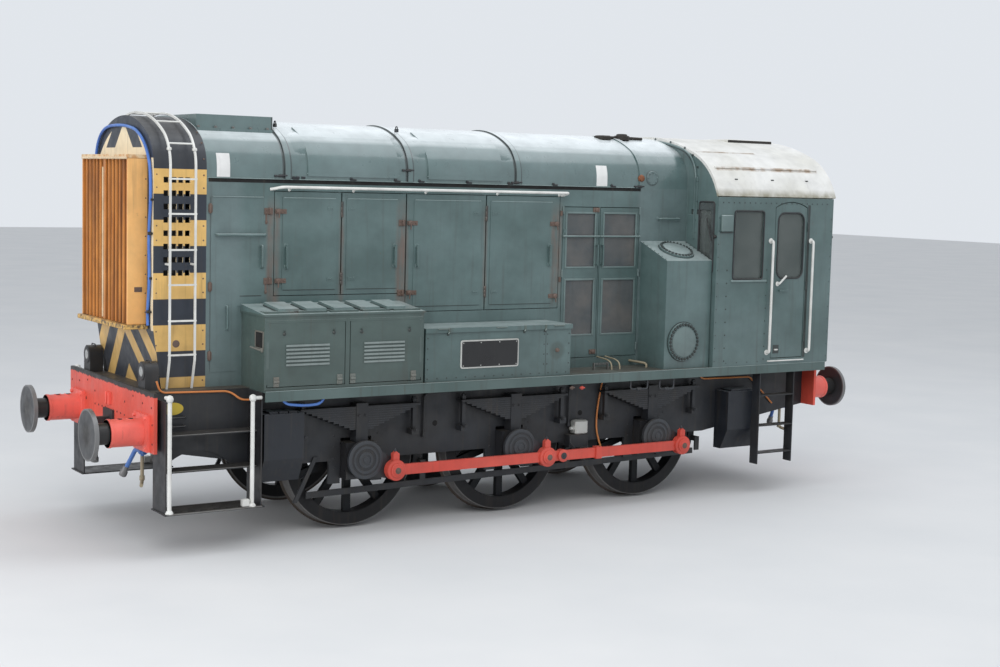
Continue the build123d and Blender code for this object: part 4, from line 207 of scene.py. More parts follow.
def weathered(p, colour, fade=None, streaks=0.35, rust=0.1, dust=0.35, low_grime=0.0, rough=0.5,
        settled_dust_and_sheen=DUST):
    """Adds fading, rain streaks, rust spots, dust on what faces up and grime low down to a colour. In the
    green body paints the dust on what faces up is pale, a mix of dust and painted sky sheen.
    """
    nz = p.facing()[2]
    if fade is not None:
        patches = p.ramp(p.noise(1.3, 5, (1, 1, 1.4)), 0.38, 0.66, 0, 0.6)
        colour = p.mix(patches, colour, fade)
    cloud = p.ramp(p.noise(6.0, 6), 0.3, 0.75, 0.0, 0.22)
    colour = p.mix(cloud, colour, SOOT)
    runs = p.ramp(p.noise(7.0, 5, (3.2, 3.2, 0.16)), 0.55, 0.74, 0, streaks)
    runs = p.times(runs, p.ramp(nz, 0.7, 0.2))
    colour = p.mix(runs, colour, (0.05, 0.04, 0.03))
    spots = p.ramp(p.noise(16.0, 7, (1, 1, 0.8), 0.7), 0.66, 0.74, 0, rust * 4)
    trails = p.ramp(p.noise(11.0, 6, (2.6, 2.6, 0.22), 0.6, (3, 1, 7)), 0.66, 0.8, 0, rust * 2.2)
    colour = p.mix(p.maths("MINIMUM", p.plus(spots, trails), 0.85), colour, RUST)
    # What faces up takes a dust colour; the green body paints make it pale, a mix of dust and painted sky
    # sheen.
    up = p.ramp(nz, 0.55, 0.95, 0, dust)
    up = p.times(up, p.ramp(p.noise(5.0, 5, (1, 1, 1), 0.6, (5, 5, 5)), 0.25, 0.7, 0.35, 1.0))
    colour = p.mix(up, colour, settled_dust_and_sheen)
    if low_grime:
        low = p.ramp(p.axes()[2], 2.2, 1.3, 0, low_grime)
        low = p.times(low, p.ramp(p.noise(4.0, 6), 0.3, 0.7, 0.3, 1.0))
        colour = p.mix(low, colour, (0.035, 0.03, 0.024))
    wear = p.ramp(p.noise(9.0, 6), 0.3, 0.75, rough - 0.1, rough + 0.18)
    p.bump(p.noise(2.2, 2, (1, 1, 0.8)), 0.22, 0.02)
    p.bump(p.noise(60.0, 5), 0.12, 0.002)
    return p.done(colour, wear)


def plain(name, colour, fade, streaks=0.35, rust=0.1, dust=0.35, rough=0.5, **surface):
    return weathered(Paint(name, **surface), colour, fade, streaks, rust, dust, 0.0, rough)


def body_green(name, base=(0.07, 0.118, 0.114), fade=(0.112, 0.172, 0.17), **more):
    """Faded green with brown rain marks under the latches, painted highlights on the louvre lips, painted
    light at both ends of the bonnet sides, and dust with a pale painted sky sheen on what faces up.
    """
    # Upward faces go pale green-grey: dust together with a painted sky sheen.
    options = dict(streaks=0.3, rust=0.08, dust=0.8, low_grime=0.3, rough=0.4, settled_dust_and_sheen=(0.42, 0.48, 0.47))
    options.update(more)
    p = Paint(name, Coat_Weight=0.35, Coat_Roughness=0.22)
    x, y, z = p.axes()
    colour = p.patches(1.1, base, fade, (1, 1, 1.6))
    # Painted light: the bonnet sides are paler at both ends, lifting the shade that falls beside the cab.
    ends = p.most(p.step(x, 2.98, 0.05), p.band(x, -2.27, -1.6, 0.03))
    ends = p.times(ends, p.flip(p.step(p.size(y), 0.78)))
    colour = p.mix(p.times(ends, 0.45), colour, (0.155, 0.205, 0.21))
    marks = 0.0
    for mark_low, mark_high in ((2.6, 2.72), (1.225, 1.35), (-0.6, -0.48), (1.93, 1.965), (0.315, 0.345)):
        marks = p.most(marks, p.band(x, mark_low, mark_high, 0.02))
    marks = p.times(marks, p.band(z, 2.16, 3.1, 0.1))
    marks = p.times(marks, p.ramp(p.noise(7.0, 6, (2.0, 2.0, 0.4), 0.6), 0.36, 0.62, 0.15, 0.8))
    colour = p.mix(marks, colour, (0.165, 0.105, 0.08))
    around = p.plus(p.maths("POWER", p.plus(x, 0.244), 2.0), p.maths("POWER", p.minus(z, 1.69), 2.0))
    stain = p.times(p.ramp(around, 0.011, 0.005), p.step(p.size(y), 1.2))
    colour = p.mix(p.times(stain, 0.45), colour, (0.045, 0.062, 0.05))
    # Painted highlight: the proud louvre lips of the battery box are paler.
    lips = p.step(p.size(y), 1.2725, 0.0015)
    lips = p.times(lips, p.times(p.band(z, 1.64, 1.88, 0.01), p.band(x, 1.35, 2.95, 0.01)))
    colour = p.mix(p.times(lips, 0.7), colour, (0.3, 0.35, 0.34))
    return weathered(p, colour, None, **options)


def roof_green():
    """Chalky green with a painted sky reflection on the upward crown, and painted shade lines beside the
    seam strips.
    """
    p = Paint("roof_green", Coat_Weight=0.8, Coat_Roughness=0.16, Coat_IOR=1.6)
    x, nz = p.axes()[0], p.facing()[2]
    colour = p.patches(1.1, (0.085, 0.14, 0.138), (0.125, 0.185, 0.185))
    # Painted reflection of the sky on the upward-facing crown, together with faded paint.
    chalk_and_reflection = p.times(p.ramp(nz, 0.7, 0.96), p.ramp(p.noise(2.4, 5), 0.25, 0.7, 0.8, 1.0))
    colour = p.mix(chalk_and_reflection, colour, (0.88, 0.93, 0.94))
    # Painted shade: dark lines in the crevices beside the raised seam strips.
    lines = 0.0
    for seam in (2.52, 1.213, -0.048):
        lines = p.most(lines, p.band(x, seam - 0.044, seam - 0.026, 0.003))
        lines = p.most(lines, p.band(x, seam + 0.024, seam + 0.05, 0.003))
    colour = p.mix(p.times(lines, 0.8), colour, (0.02, 0.026, 0.026))
    return weathered(p, colour, None, streaks=0.15, rust=0.05, dust=0.0, rough=0.34)


def mesh_door_green():
    """The green door frames round panes of fine wire mesh, grey-brown with dirt, with painted shade in the
    holes between the wires.
    """
    p = Paint("mesh_door_green", Coat_Weight=0.2, Coat_Roughness=0.3)
    x, y, z = p.axes()
    colour = p.patches(1.1, (0.066, 0.11, 0.106), (0.105, 0.16, 0.158), (1, 1, 1.6))
    wide = p.most(p.band(x, -1.033, -0.666, 0.001), p.band(x, -1.57, -1.147, 0.001))
    tall = p.most(p.band(z, 1.786, 2.363, 0.001), p.band(z, 2.496, 3.06, 0.001))
    pane = p.times(wide, tall)
    pane = p.times(pane, p.flip(p.step(p.size(y), 0.755, 0.001)))
    wires = 0.0
    for along in (x, z):
        wave = p.maths("SINE", p.times(along, math.tau / MESH_PITCH))
        wires = p.most(wires, p.ramp(wave, 0.1, 0.8))
    dirt = p.ramp(p.noise(3.0, 6, (1, 1, 1), 0.6, (2, 2, 2)), 0.35, 0.68)
    cloth = p.mix(dirt, (0.08, 0.098, 0.106), (0.15, 0.142, 0.132))
    # Painted shade: the holes between the wires are near-black, the shade inside the bonnet.
    cloth = p.mix(p.times(p.flip(wires), 0.62), cloth, (0.018, 0.019, 0.02))
    colour = p.mix(pane, colour, cloth)
    p.bump(p.times(wires, pane), 0.5, 0.0015)
    return weathered(p, colour, None, streaks=0.25, rust=0.09, dust=0.2, rough=0.48)


def stripes():
    """The nose: yellow and navy bands on the sides, chevrons on the face, navy over the roof."""
    p = Paint("nose_stripes")
    x, y, z = p.axes()
    nx = p.facing()[0]
    yellow, cream, navy = (0.74, 0.465, 0.15), (0.84, 0.7, 0.47), (0.024, 0.031, 0.045)
    side = p.size(y)
    bands = 0.0
    for top, bottom in ((3.406, 3.184), (2.952, 2.72), (2.478, 2.244), (2.01, 1.774), (1.538, 1.44)):
        bands = p.most(bands, p.band(z, bottom, top))
    sides = p.mix(bands, navy, yellow)
    slant_top = p.minus(side, p.minus(3.757, z))
    bars = p.times(p.band(slant_top, 0.07, 0.31), p.step(z, 3.592))
    field = p.flip(p.step(slant_top, 0.56))
    reach = p.reach(y, p.minus(z, 2.92))
    field = p.times(field, p.flip(p.step(reach, 0.885)))
    upper = p.mix(p.times(field, p.flip(bars)), navy, cream)
    slant_low = p.minus(side, p.minus(1.84, z))
    low_bars = p.most(p.band(slant_low, 0.05, 0.24), p.band(slant_low, 0.47, 0.69))
    low_bars = p.most(low_bars, p.flip(p.step(slant_low, -0.25)))
    lower = p.mix(low_bars, navy, yellow)
    edge = p.mix(p.step(side, 0.7), navy, cream)
    front = p.mix(p.step(z, 3.5), p.mix(p.step(z, 1.96), lower, edge), upper)
    colour = p.mix(p.step(nx, 0.5, 0.05), sides, front)
    roof = p.times(p.step(z, 3.425), p.flip(p.step(nx, 0.5, 0.05)))
    colour = p.mix(roof, colour, (0.03, 0.034, 0.042))
    return weathered(p, colour, streaks=0.35, rust=0.1, dust=0.2, low_grime=0.5, rough=0.4)


def underframe(name, base=(0.014, 0.016, 0.02), **more):
    options = dict(streaks=0.5, rust=0.07, dust=0.22, low_grime=0.0, rough=0.46)
    options.update(more)
    p = Paint(name)
    muck = p.ramp(p.noise(3.0, 6), 0.35, 0.7, 0.0, 0.55)
    colour = p.mix(muck, base, (0.034, 0.03, 0.026))
    return weathered(p, colour, (0.024, 0.027, 0.033), **options)


def wheel_paint(end, axle_x):
    """Dark spokes and hub, a brown tyre face and a bright worn tread."""
    p = Paint("wheel_" + end, Specular_IOR_Level=0.22)
    x, y, z = p.axes()
    reach = p.reach(p.minus(x, axle_x), p.minus(z, AXLE_Z))
    colour = p.mix(p.step(reach, 0.566, 0.004), (0.006, 0.007, 0.009), (0.014, 0.014, 0.015))
    colour = p.mix(p.step(reach, 0.676, 0.003), colour, (0.17, 0.165, 0.16))
    colour = p.mix(p.step(reach, 0.694, 0.003), colour, (0.07, 0.055, 0.045))
    return weathered(p, colour, None, rust=0.08, dust=0.05, rough=0.5)


def plate_green():
    """The running plate: green over its valance, worn black over the front steps."""
    p = Paint("plate_green")
    x, nz = p.axes()[0], p.facing()[2]
    colour = p.patches(1.5, (0.066, 0.104, 0.098), (0.105, 0.15, 0.144))
    colour = p.mix(p.step(x, 2.968), colour, (0.022, 0.022, 0.022))
    tops = p.times(p.ramp(nz, 0.5, 0.9), p.ramp(p.noise(6.0, 6), 0.3, 0.65, 0.35, 0.95))
    colour = p.mix(tops, colour, (0.045, 0.038, 0.03))
    return weathered(p, colour, None, streaks=0.4, rust=0.14, dust=0.3, rough=0.5)


def beam_red():
    """Bright red with a black, crumbling top edge."""
    p = Paint("beam_red")
    z = p.axes()[2]
    colour = p.patches(1.5, (0.66, 0.075, 0.045), (0.78, 0.115, 0.08))
    ragged = p.plus(z, p.ramp(p.noise(26.0, 5), 0.3, 0.7, -0.012, 0.012))
    colour = p.mix(p.step(ragged, 1.412, 0.003), colour, (0.02, 0.018, 0.017))
    return weathered(p, colour, None, streaks=0.25, rust=0.07, dust=0.15, rough=0.4)


def head_paint():
    """Dark buffer heads with a bright worn rim and grease in the middle."""
    p = Paint("buffer_steel", metallic=0.35)
    x, y, z = p.axes()
    across = p.minus(p.size(y), 0.87)
    reach = p.reach(across, p.minus(z, BUFFER_Z))
    colour = p.mix(p.step(reach, 0.216, 0.006), (0.05, 0.052, 0.056), (0.2, 0.2, 0.2))
    colour = p.mix(p.flip(p.step(reach, 0.105, 0.03)), colour, (0.022, 0.02, 0.018))
    return weathered(p, colour, None, rust=0.1, dust=0.15, rough=0.36)


def shutter_paint():
    """Orange slats with brown runs and painted shade in the recesses between them, paler flat cheeks, and a
    pale flaking hood and sill.
    """
    p = Paint("shutter_orange")
    x, y, z = p.axes()
    colour = p.patches(2.2, (0.56, 0.2, 0.036), (0.66, 0.275, 0.062), (1, 1, 0.5))
    runs = p.ramp(p.noise(16.0, 5, (1, 3.0, 0.07)), 0.44, 0.66, 0.0, 0.75)
    colour = p.mix(runs, colour, (0.26, 0.095, 0.028))
    cheek = p.step(p.size(y), 0.606, 0.002)
    flat = p.patches(1.6, (0.84, 0.41, 0.12), (0.9, 0.51, 0.185), (1, 1, 0.4))
    colour = p.mix(cheek, colour, flat)
    # Painted shade: darker towards the back of the recesses between the slats.
    recess_shade = p.times(p.ramp(x, 3.987, 3.968), p.band(z, 2.012, 3.488, 0.002))
    recess_shade = p.times(recess_shade, p.flip(p.step(p.size(y), 0.592, 0.002)))
    colour = p.mix(p.times(recess_shade, 0.92), colour, (0.05, 0.022, 0.01))
    hood = p.step(z, 3.489, 0.002)
    flakes = p.ramp(p.noise(20.0, 5), 0.42, 0.6)
    colour = p.mix(hood, colour, p.mix(flakes, (0.74, 0.56, 0.34), (0.6, 0.3, 0.11)))
    sill = p.flip(p.step(z, 2.011, 0.002))
    blots = p.ramp(p.noise(24.0, 6, (1, 1, 0.8), 0.65), 0.46, 0.6)
    colour = p.mix(sill, colour, p.mix(blots, (0.66, 0.4, 0.115), (0.07, 0.045, 0.025)))
    return weathered(p, colour, None, streaks=0.3, rust=0.1, dust=0.1, rough=0.45)


def cab_roof_paint():
    """Chalky white with rusty runs from the gutter strips and a dirty foot."""
    p = Paint("cab_roof_white")
    x, y, z = p.axes()
    side = p.size(y)
    colour = p.mix(p.ramp(p.noise(1.6, 5), 0.38, 0.66), (0.76, 0.755, 0.73), (0.66, 0.65, 0.6))
    low = p.times(p.band(side, 1.104, 1.13, 0.006), p.band(x, -3.83, -2.36, 0.01))
    high = p.times(p.band(side, 0.826, 0.842, 0.005), p.band(x, -3.15, -2.32, 0.01))
    runs = p.most(low, high)
    runs = p.times(runs, p.ramp(p.noise(9.0, 6, (0.8, 1, 1), 0.65), 0.42, 0.6, 0.1, 0.85))
    colour = p.mix(runs, colour, (0.3, 0.2, 0.12))
    foot = p.times(p.ramp(z, 3.36, 3.29), p.ramp(p.noise(7.0, 6), 0.36, 0.6, 0.35, 0.9))
    colour = p.mix(foot, colour, (0.26, 0.24, 0.16))
    return weathered(p, colour, None, streaks=0.22, rust=0.09, dust=0.12, rough=0.5)


def glass():
    p = Paint("cab_glass", rough=0.12, IOR=1.45, Alpha=0.62)
    colour = p.mix(p.ramp(p.noise(3.0, 4), 0.4, 0.7, 0, 0.5), (0.1, 0.12, 0.115), (0.19, 0.21, 0.2))
    return p.done(colour, p.ramp(p.noise(12.0, 4), 0.35, 0.8, 0.08, 0.2))


green = body_green("bonnet_green")
green_roof = roof_green()
green_cab = body_green("cab_green", (0.074, 0.122, 0.118), (0.112, 0.17, 0.168), low_grime=0.2)
black = underframe("underframe_black")
grease = underframe("axlebox_grease", (0.015, 0.0155, 0.018), rough=0.36)
red = plain("signal_red", (0.87, 0.14, 0.105), (0.91, 0.19, 0.15), streaks=0.3, rust=0.07, dust=0.15,
    rough=0.4)
rod_red = plain("rod_red", (0.58, 0.062, 0.04), (0.66, 0.1, 0.07), streaks=0.15, rust=0.03, dust=0.15,
    rough=0.38)
white = plain("rail_white", (0.76, 0.76, 0.73), (0.62, 0.61, 0.57), streaks=0.12, rust=0.07, dust=0.1,
    rough=0.42)
roof_white = cab_roof_paint()
orange = shutter_paint()
head_steel = head_paint()
hose_blue = plain("hose_blue", (0.05, 0.14, 0.48), (0.11, 0.25, 0.58), streaks=0.1, rust=0.0, dust=0.1,
    rough=0.35)
conduit = plain("conduit_orange", (0.6, 0.2, 0.05), (0.62, 0.26, 0.09), streaks=0.1, rust=0.05, dust=0.15,
    rough=0.5)
inside = plain("cab_inside", (0.26, 0.27, 0.22), (0.34, 0.34, 0.29), rough=0.6)
core_metal = plain("radiator_core", (0.03, 0.03, 0.03), (0.06, 0.055, 0.05), rough=0.6, metallic=0.2)

rusty = plain("rusty_fittings", (0.125, 0.08, 0.062), (0.16, 0.115, 0.095), streaks=0.3, rust=0.2,
    dust=0.15, rough=0.7)
green_trim = body_green("green_trim", (0.06, 0.092, 0.078), (0.105, 0.14, 0.122), low_grime=0.2)
steel_worn = plain("worn_steel", (0.22, 0.215, 0.205), (0.14, 0.13, 0.12), rust=0.12, dust=0.1, rough=0.4,
    metallic=0.6)
# Lit and shaded copies of the body green: a painted highlight for strips and lips, painted shade and shadow
# for bolts, rings and lines, and a softer painted highlight for raised frames, discs and pads.
green_light = body_green("green_light", (0.17, 0.235, 0.23), (0.22, 0.295, 0.29), streaks=0.2)
green_dark = body_green("green_dark", (0.018, 0.028, 0.027), (0.03, 0.042, 0.04), dust=0.1)
green_mid = body_green("green_mid", (0.115, 0.17, 0.165), (0.155, 0.215, 0.21), streaks=0.2)
pane_grey = plain("blind_pane", (0.075, 0.088, 0.088), (0.095, 0.108, 0.107), streaks=0.1, rust=0.0,
    dust=0.05, rough=0.2, Coat_Weight=0.6, Coat_Roughness=0.1)
edge_grey = underframe("spring_leaf_edges", (0.04, 0.045, 0.053), rough=0.4)
sandbox_paint = Paint("sandbox_paint")
sandbox_facing = sandbox_paint.facing()
# Painted sheen: the sandbox tops turn pale blue-grey where they face up.
sandbox_top_sheen = sandbox_paint.ramp(sandbox_facing[2], 0.5, 0.9)
sandbox_black = weathered(sandbox_paint, sandbox_paint.mix(sandbox_top_sheen, (0.012, 0.015, 0.021),
    (0.2, 0.225, 0.255)), None, streaks=0.4, rust=0.06, dust=0.15, rough=0.42)
copper = plain("copper_plug", (0.35, 0.14, 0.07), (0.22, 0.09, 0.05), rust=0.05, dust=0.1, rough=0.4,
    metallic=0.7)
# Near-black painted shade, laid into the openings, holes and slots.
hollow_shade = plain("dark_hollows", (0.006, 0.006, 0.006), (0.01, 0.009, 0.008), rust=0.02, dust=0.0, rough=0.9)
hinge_grey = plain("hinge_grey", (0.15, 0.165, 0.15), (0.165, 0.125, 0.095), streaks=0.3, rust=0.2,
    dust=0.15, rough=0.6)
plate_border = plain("plate_border", (0.55, 0.55, 0.52), (0.42, 0.42, 0.4), streaks=0.1, rust=0.03,
    dust=0.1, rough=0.4, metallic=0.3)
plate_dark = plain("plate_face", (0.014, 0.014, 0.015), (0.024, 0.024, 0.025), streaks=0.1, rust=0.02,
    dust=0.1, rough=0.35)
notice_white = plain("notice_white", (0.78, 0.78, 0.77), (0.68, 0.67, 0.65), streaks=0.1, rust=0.01,
    dust=0.1, rough=0.4)
oval_yellow = plain("oval_yellow", (0.5, 0.36, 0.03), (0.42, 0.3, 0.05), streaks=0.3, rust=0.03, dust=0.1,
    rough=0.45)
beam_dark = plain("beam_bolt_heads", (0.16, 0.022, 0.014), (0.08, 0.02, 0.015), rust=0.1, dust=0.1,
    rough=0.5)
pipe_cream = plain("pipe_cream", (0.42, 0.36, 0.24), (0.3, 0.25, 0.17), streaks=0.3, rust=0.08, dust=0.2,
    rough=0.5)
cream_edge = plain("cream_edge", (0.74, 0.6, 0.42), (0.6, 0.42, 0.22), streaks=0.2, rust=0.1, dust=0.1,
    rough=0.5)
soot_black = plain("soot_black", (0.012, 0.011, 0.01), (0.03, 0.02, 0.012), rust=0.08, dust=0.1, rough=0.6)
lens_paint = Paint("lamp_lens", rough=0.12, IOR=1.45)
lens_glass = lens_paint.done(lens_paint.mix(lens_paint.ramp(lens_paint.noise(30.0, 3), 0.35, 0.7),
    (0.24, 0.25, 0.25), (0.36, 0.37, 0.36)))

paint_of = {"bonnet_roof": green_roof, "running_plate": plate_green(), "nose_shell": stripes(),
    "radiator_shutter": orange, "radiator_core": core_metal, "cab_body": green_cab, "cab_roof": roof_white,
    "cab_windows": glass(), "cab_fittings": inside, "buffer_beams": beam_red(), "buffer_housings": red,
    "buffer_heads": head_steel, "rod_left": rod_red, "rod_right": rod_red, "sandboxes": sandbox_black,
    "nose_ladders": white, "handrails": white, "axleboxes": grease, "air_pipes": hose_blue,
    "conduits": conduit}
green_battery = body_green("battery_green", (0.052, 0.084, 0.076), (0.08, 0.118, 0.108))
paint_of["battery_boxes"] = green_battery
mesh_green = mesh_door_green()
for side in SIDES:
    paint_of["cab_door_glass_" + side] = paint_of["cab_windows"]
    paint_of["cab_door_" + side] = green_cab
    paint_of["battery_leaf_front_" + side] = paint_of["battery_leaf_rear_" + side] = green_battery
    paint_of["mesh_door_1_" + side] = paint_of["mesh_door_2_" + side] = mesh_green
for end, axle_x in AXLE_X.items():
    paint_of["wheels_" + end] = wheel_paint(end, axle_x)
    paint_of["axle_" + end] = grease
for name in (
    "main_frame", "leaf_springs", "drawgear", "steps", "brake_gear", "traction_motors", "lamps",
    "engine_block",
):
    paint_of[name] = black
for name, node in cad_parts.items():
    node.data.materials.clear()
    node.data.materials.append(paint_of.get(name, green))


# The slot that goes with each material, where it isn't green_paint
SLOT_OF = {
    "rusty_fittings": "black_underframe",
    "underframe_black": "black_underframe",
    "dark_hollows": "black_underframe",
    "soot_black": "black_underframe",
    "plate_face": "black_underframe",
    "beam_bolt_heads": "black_underframe",
    "worn_steel": "bare_steel",
    "copper_plug": "bare_steel",
    "plate_border": "bare_steel",
    "buffer_steel": "bare_steel",
    "rail_white": "white_paint",
    "notice_white": "white_paint",
    "pipe_cream": "white_paint",
    "cream_edge": "white_paint",
    "signal_red": "signal_red",
    "rod_red": "signal_red",
    "cab_roof_white": "grey_roof",
    "shutter_orange": "orange_paint",
    "hose_blue": "hose_blue",
    "conduit_orange": "conduit_orange",
    "blind_pane": "glass",
    "lamp_lens": "glass",
    "oval_yellow": "yellow_black",
    "spring_leaf_edges": "wheel_steel",
}


# Small pieces: one kit per material and body
class Kit:
    """Small solids of one material that ride with one body. Places are on the left side, in metres."""
    waiting = []

    def __init__(self, name, material, body=ROOT, finish=None, sides="both"):
        self.name, self.material, self.body, self.sides = name, material, body, sides
        self.finish = finish or SLOT_OF.get(material.name.split(".")[0], "green_paint")
        self.points, self.faces = [], []
        Kit.waiting.append(self)

    def add(self, points, faces):
        start = len(self.points)
        self.points.extend(Vector(point) for point in points)
        self.faces.extend([start + index for index in face] for face in faces)

    def loft(self, rings, looped=False):
        count = len(rings[0])
        faces = []
        for step in range(len(rings) if looped else len(rings) - 1):
            a, b = step * count, (step + 1) % len(rings) * count
            faces.extend((a + i, a + (i + 1) % count, b + (i + 1) % count, b + i) for i in range(count))
        if not looped:
            faces.append(tuple(range(count)))
            faces.append(tuple((len(rings) - 1) * count + i for i in range(count)))
        self.add([point for ring in rings for point in ring], faces)

    def box(self, low, high, edge=0.002):
        """A block with chamfered edges."""
        middle = (Vector(low) + Vector(high)) / 2
        half = [abs(b - a) / 2 for a, b in zip(low, high)]
        edge = min(edge, min(half) * 0.6)
        rings = []
        for z, inset in ((-half[2], edge), (-half[2] + edge, 0), (half[2] - edge, 0), (half[2], edge)):
            x, y = half[0] - inset, half[1] - inset
            flat = ((x, y - edge), (x - edge, y), (-x + edge, y), (-x, y - edge))
            flat += ((-x, -y + edge), (-x + edge, -y), (x - edge, -y), (x, -y + edge))
            rings.append([middle + Vector((u, v, z)) for u, v in flat])
        self.loft(rings)

    def tube(self, path, radius, bend=0.04, sides=10, looped=False):
        path = [Vector(point) for point in path]
        if bend and not looped:
            path = rounded(path, bend)
        rings, side = [], None
        for index, point in enumerate(path):
            before = path[index - 1] if index or looped else point
            after = path[(index + 1) % len(path)] if index < len(path) - 1 or looped else point
            ahead = (after - before).normalized()
            side = ahead.orthogonal() if side is None else side - ahead * side.dot(ahead)
            side.normalize()
            other = ahead.cross(side)
            rings.append([
                point + radius * (math.cos(a) * side + math.sin(a) * other)
                for a in (math.tau * step / sides for step in range(sides))
            ])
        self.loft(rings, looped)

    def turned(self, centre, axis, profile, sides=20, start=0.0):
        """A turned piece: the profile lists the distance along the axis and the radius."""
        centre, axis = Vector(centre), Vector(axis).normalized()
        side = axis.orthogonal().normalized()
        other = axis.cross(side)
        rings = []
        for along, radius in profile:
            rings.append([
                centre + axis * along + max(radius, 0.0004) * (math.cos(a) * side + math.sin(a) * other)
                for a in (start + math.tau * step / sides for step in range(sides))
            ])
        self.loft(rings)

    def disc(self, centre, axis, radius, height, top_radius, top, sides):
        """A disc whose face narrows to the top radius between its height and its top."""
        self.turned(centre, axis, ((0, radius), (height, radius), (top, top_radius)), sides)

    def bolt(self, centre, axis=OUT, radius=0.011, height=0.008, start=0.0):
        """A hexagon head on a washer."""
        self.turned(centre, axis, ((-0.002, radius * 1.5), (0.002, radius * 1.5), (0.0025, radius * 1.2)),
            12)
        profile = ((0.001, radius), (height * 0.8, radius), (height, radius * 0.82))
        self.turned(centre, axis, profile, 6, start)

    def rivet(self, centre, axis=OUT, radius=0.009):
        self.turned(centre, axis, ((-0.002, radius), (radius * 0.25, radius * 0.92),
            (radius * 0.55, radius * 0.4)), 8)

    def plate(self, outline, place, thickness, edge=0.002):
        """A flat plate with a chamfered outer face. place turns (u, v, height) into a point."""
        middle = Vector((sum(u for u, _ in outline), sum(v for _, v in outline))) / len(outline)
        rings = []
        for height, inset in ((-0.003, 0), (thickness - edge, 0), (thickness, edge)):
            ring = []
            for u, v in outline:
                away = Vector((u, v)) - middle
                at = middle + away * (1 - inset / away.length)
                ring.append(place(at.x, at.y, height))
            rings.append(ring)
        self.loft(rings)

    def build(self):
        Kit.waiting.remove(self)
        points, faces = self.points, self.faces
        if self.sides != "left":
            other = [Vector((p.x, -p.y, p.z)) for p in points]
            if self.sides == "right":
                points = other
            else:
                faces = faces + [[len(points) + index for index in face] for face in faces]
                points = points + other
        mesh = bpy.data.meshes.new(self.name)
        mesh.from_pydata(points, [], faces)
        work = bmesh.new()
        work.from_mesh(mesh)
        bmesh.ops.recalc_face_normals(work, faces=work.faces)
        for face in work.faces:
            face.smooth = True
        for edge in work.edges:
            edge.smooth = len(edge.link_faces) == 2 and edge.calc_face_angle(0) < math.radians(38)
        work.to_mesh(mesh)
        work.free()
        piece = bpy.data.objects.new(self.name, mesh)
        scene.collection.objects.link(piece)
        mesh.materials.append(self.material)
        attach(piece, self.body)
        return piece


def rounded(path, bend, parts=6):
    """Turns each corner of a run into an arc that starts and ends the bend's length from it."""
    out = [path[0]]
    for before, corner, after in zip(path, path[1:], path[2:]):
        reach = min(bend, (before - corner).length * 0.49, (after - corner).length * 0.49)
        start = corner + (before - corner).normalized() * reach
        end = corner + (after - corner).normalized() * reach
        for step in range(parts + 1):
            t = step / parts
            out.append((1 - t) ** 2 * start + 2 * t * (1 - t) * corner + t * t * end)
    out.append(path[-1])
    return out


def on_side(y):
    """Places a plate's (u, v) as X and Z on an upright face that looks to the left."""
    return lambda u, v, height: Vector((u, y + height, v))


def frame_outline(u0, u1, v0, v1, corner=0.03, parts=4):
    """A rectangle with rounded corners."""
    points = []
    corners = ((u1 - corner, v1 - corner, 0), (u0 + corner, v1 - corner, 90),
        (u0 + corner, v0 + corner, 180))
    for cu, cv, first in corners + ((u1 - corner, v0 + corner, 270),):
        for step in range(parts + 1):
            angle = math.radians(first + 90 * step / parts)
            points.append((cu + corner * math.cos(angle), cv + corner * math.sin(angle)))
    return points


# Handrails, bent from tube
rails = Kit("handrails_bent", white)
rail_z = 3.265
rails.tube([(2.69, 0.755, 3.243), (2.672, 0.768, 3.245), (2.606, 0.84, rail_z), (-0.634, 0.84, rail_z),
    (-0.6, 0.775, 3.24), (-0.592, 0.755, 3.238)], 0.0145, 0.035)
for bracket_x in (2.5, 1.83, 1.035, 0.2, -0.56):
    rails.tube([(bracket_x, 0.755, 3.24), (bracket_x, 0.842, 3.262)], 0.0065, 0, 8)
    rails.disc((bracket_x, BONNET_Y, 3.24), OUT, 0.014, 0.004, 0.01, 0.006, 12)
for rail_x in (-3.028, -3.622):
    rails.tube([(rail_x, 1.284, 1.572), (rail_x, 1.333, 1.572), (rail_x, 1.335, 2.796),
        (rail_x, 1.284, 2.796)], 0.0145, 0.045)
    for foot_z in (1.572, 2.796):
        rails.disc((rail_x, 1.288, foot_z), OUT, 0.03, 0.006, 0.018, 0.009, 14)
for post_x, post_top in ((3.844, 1.412), (3.062, 1.382)):
    rails.tube([(post_x, 1.243, 0.4), (post_x, 1.243, post_top)], 0.0195, 0, 12)
    end = (post_x, 1.15, post_top) if post_x > 3.5 else (post_x - 0.085, 1.243, post_top)
    rails.tube([(post_x, 1.243, post_top), end], 0.0165, 0, 12)
    rails.turned((post_x, 1.243, post_top - 0.034), UP, ((0, 0.014), (0.01, 0.027), (0.034, 0.034),
        (0.058, 0.027), (0.068, 0.008)), 14)
    rails.disc((post_x, 1.243, 0.398), UP, 0.036, 0.01, 0.024, 0.03, 14)
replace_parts(rails.build(), "handrails")
panel_bar = Kit("panel_bars", green)
panel_bar.tube([(3.221, 0.76, 2.822), (3.221, 0.802, 2.822), (2.749, 0.802, 2.822), (2.749, 0.76, 2.822)],
    0.0135, 0.025)
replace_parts(panel_bar.build(), "handrails")
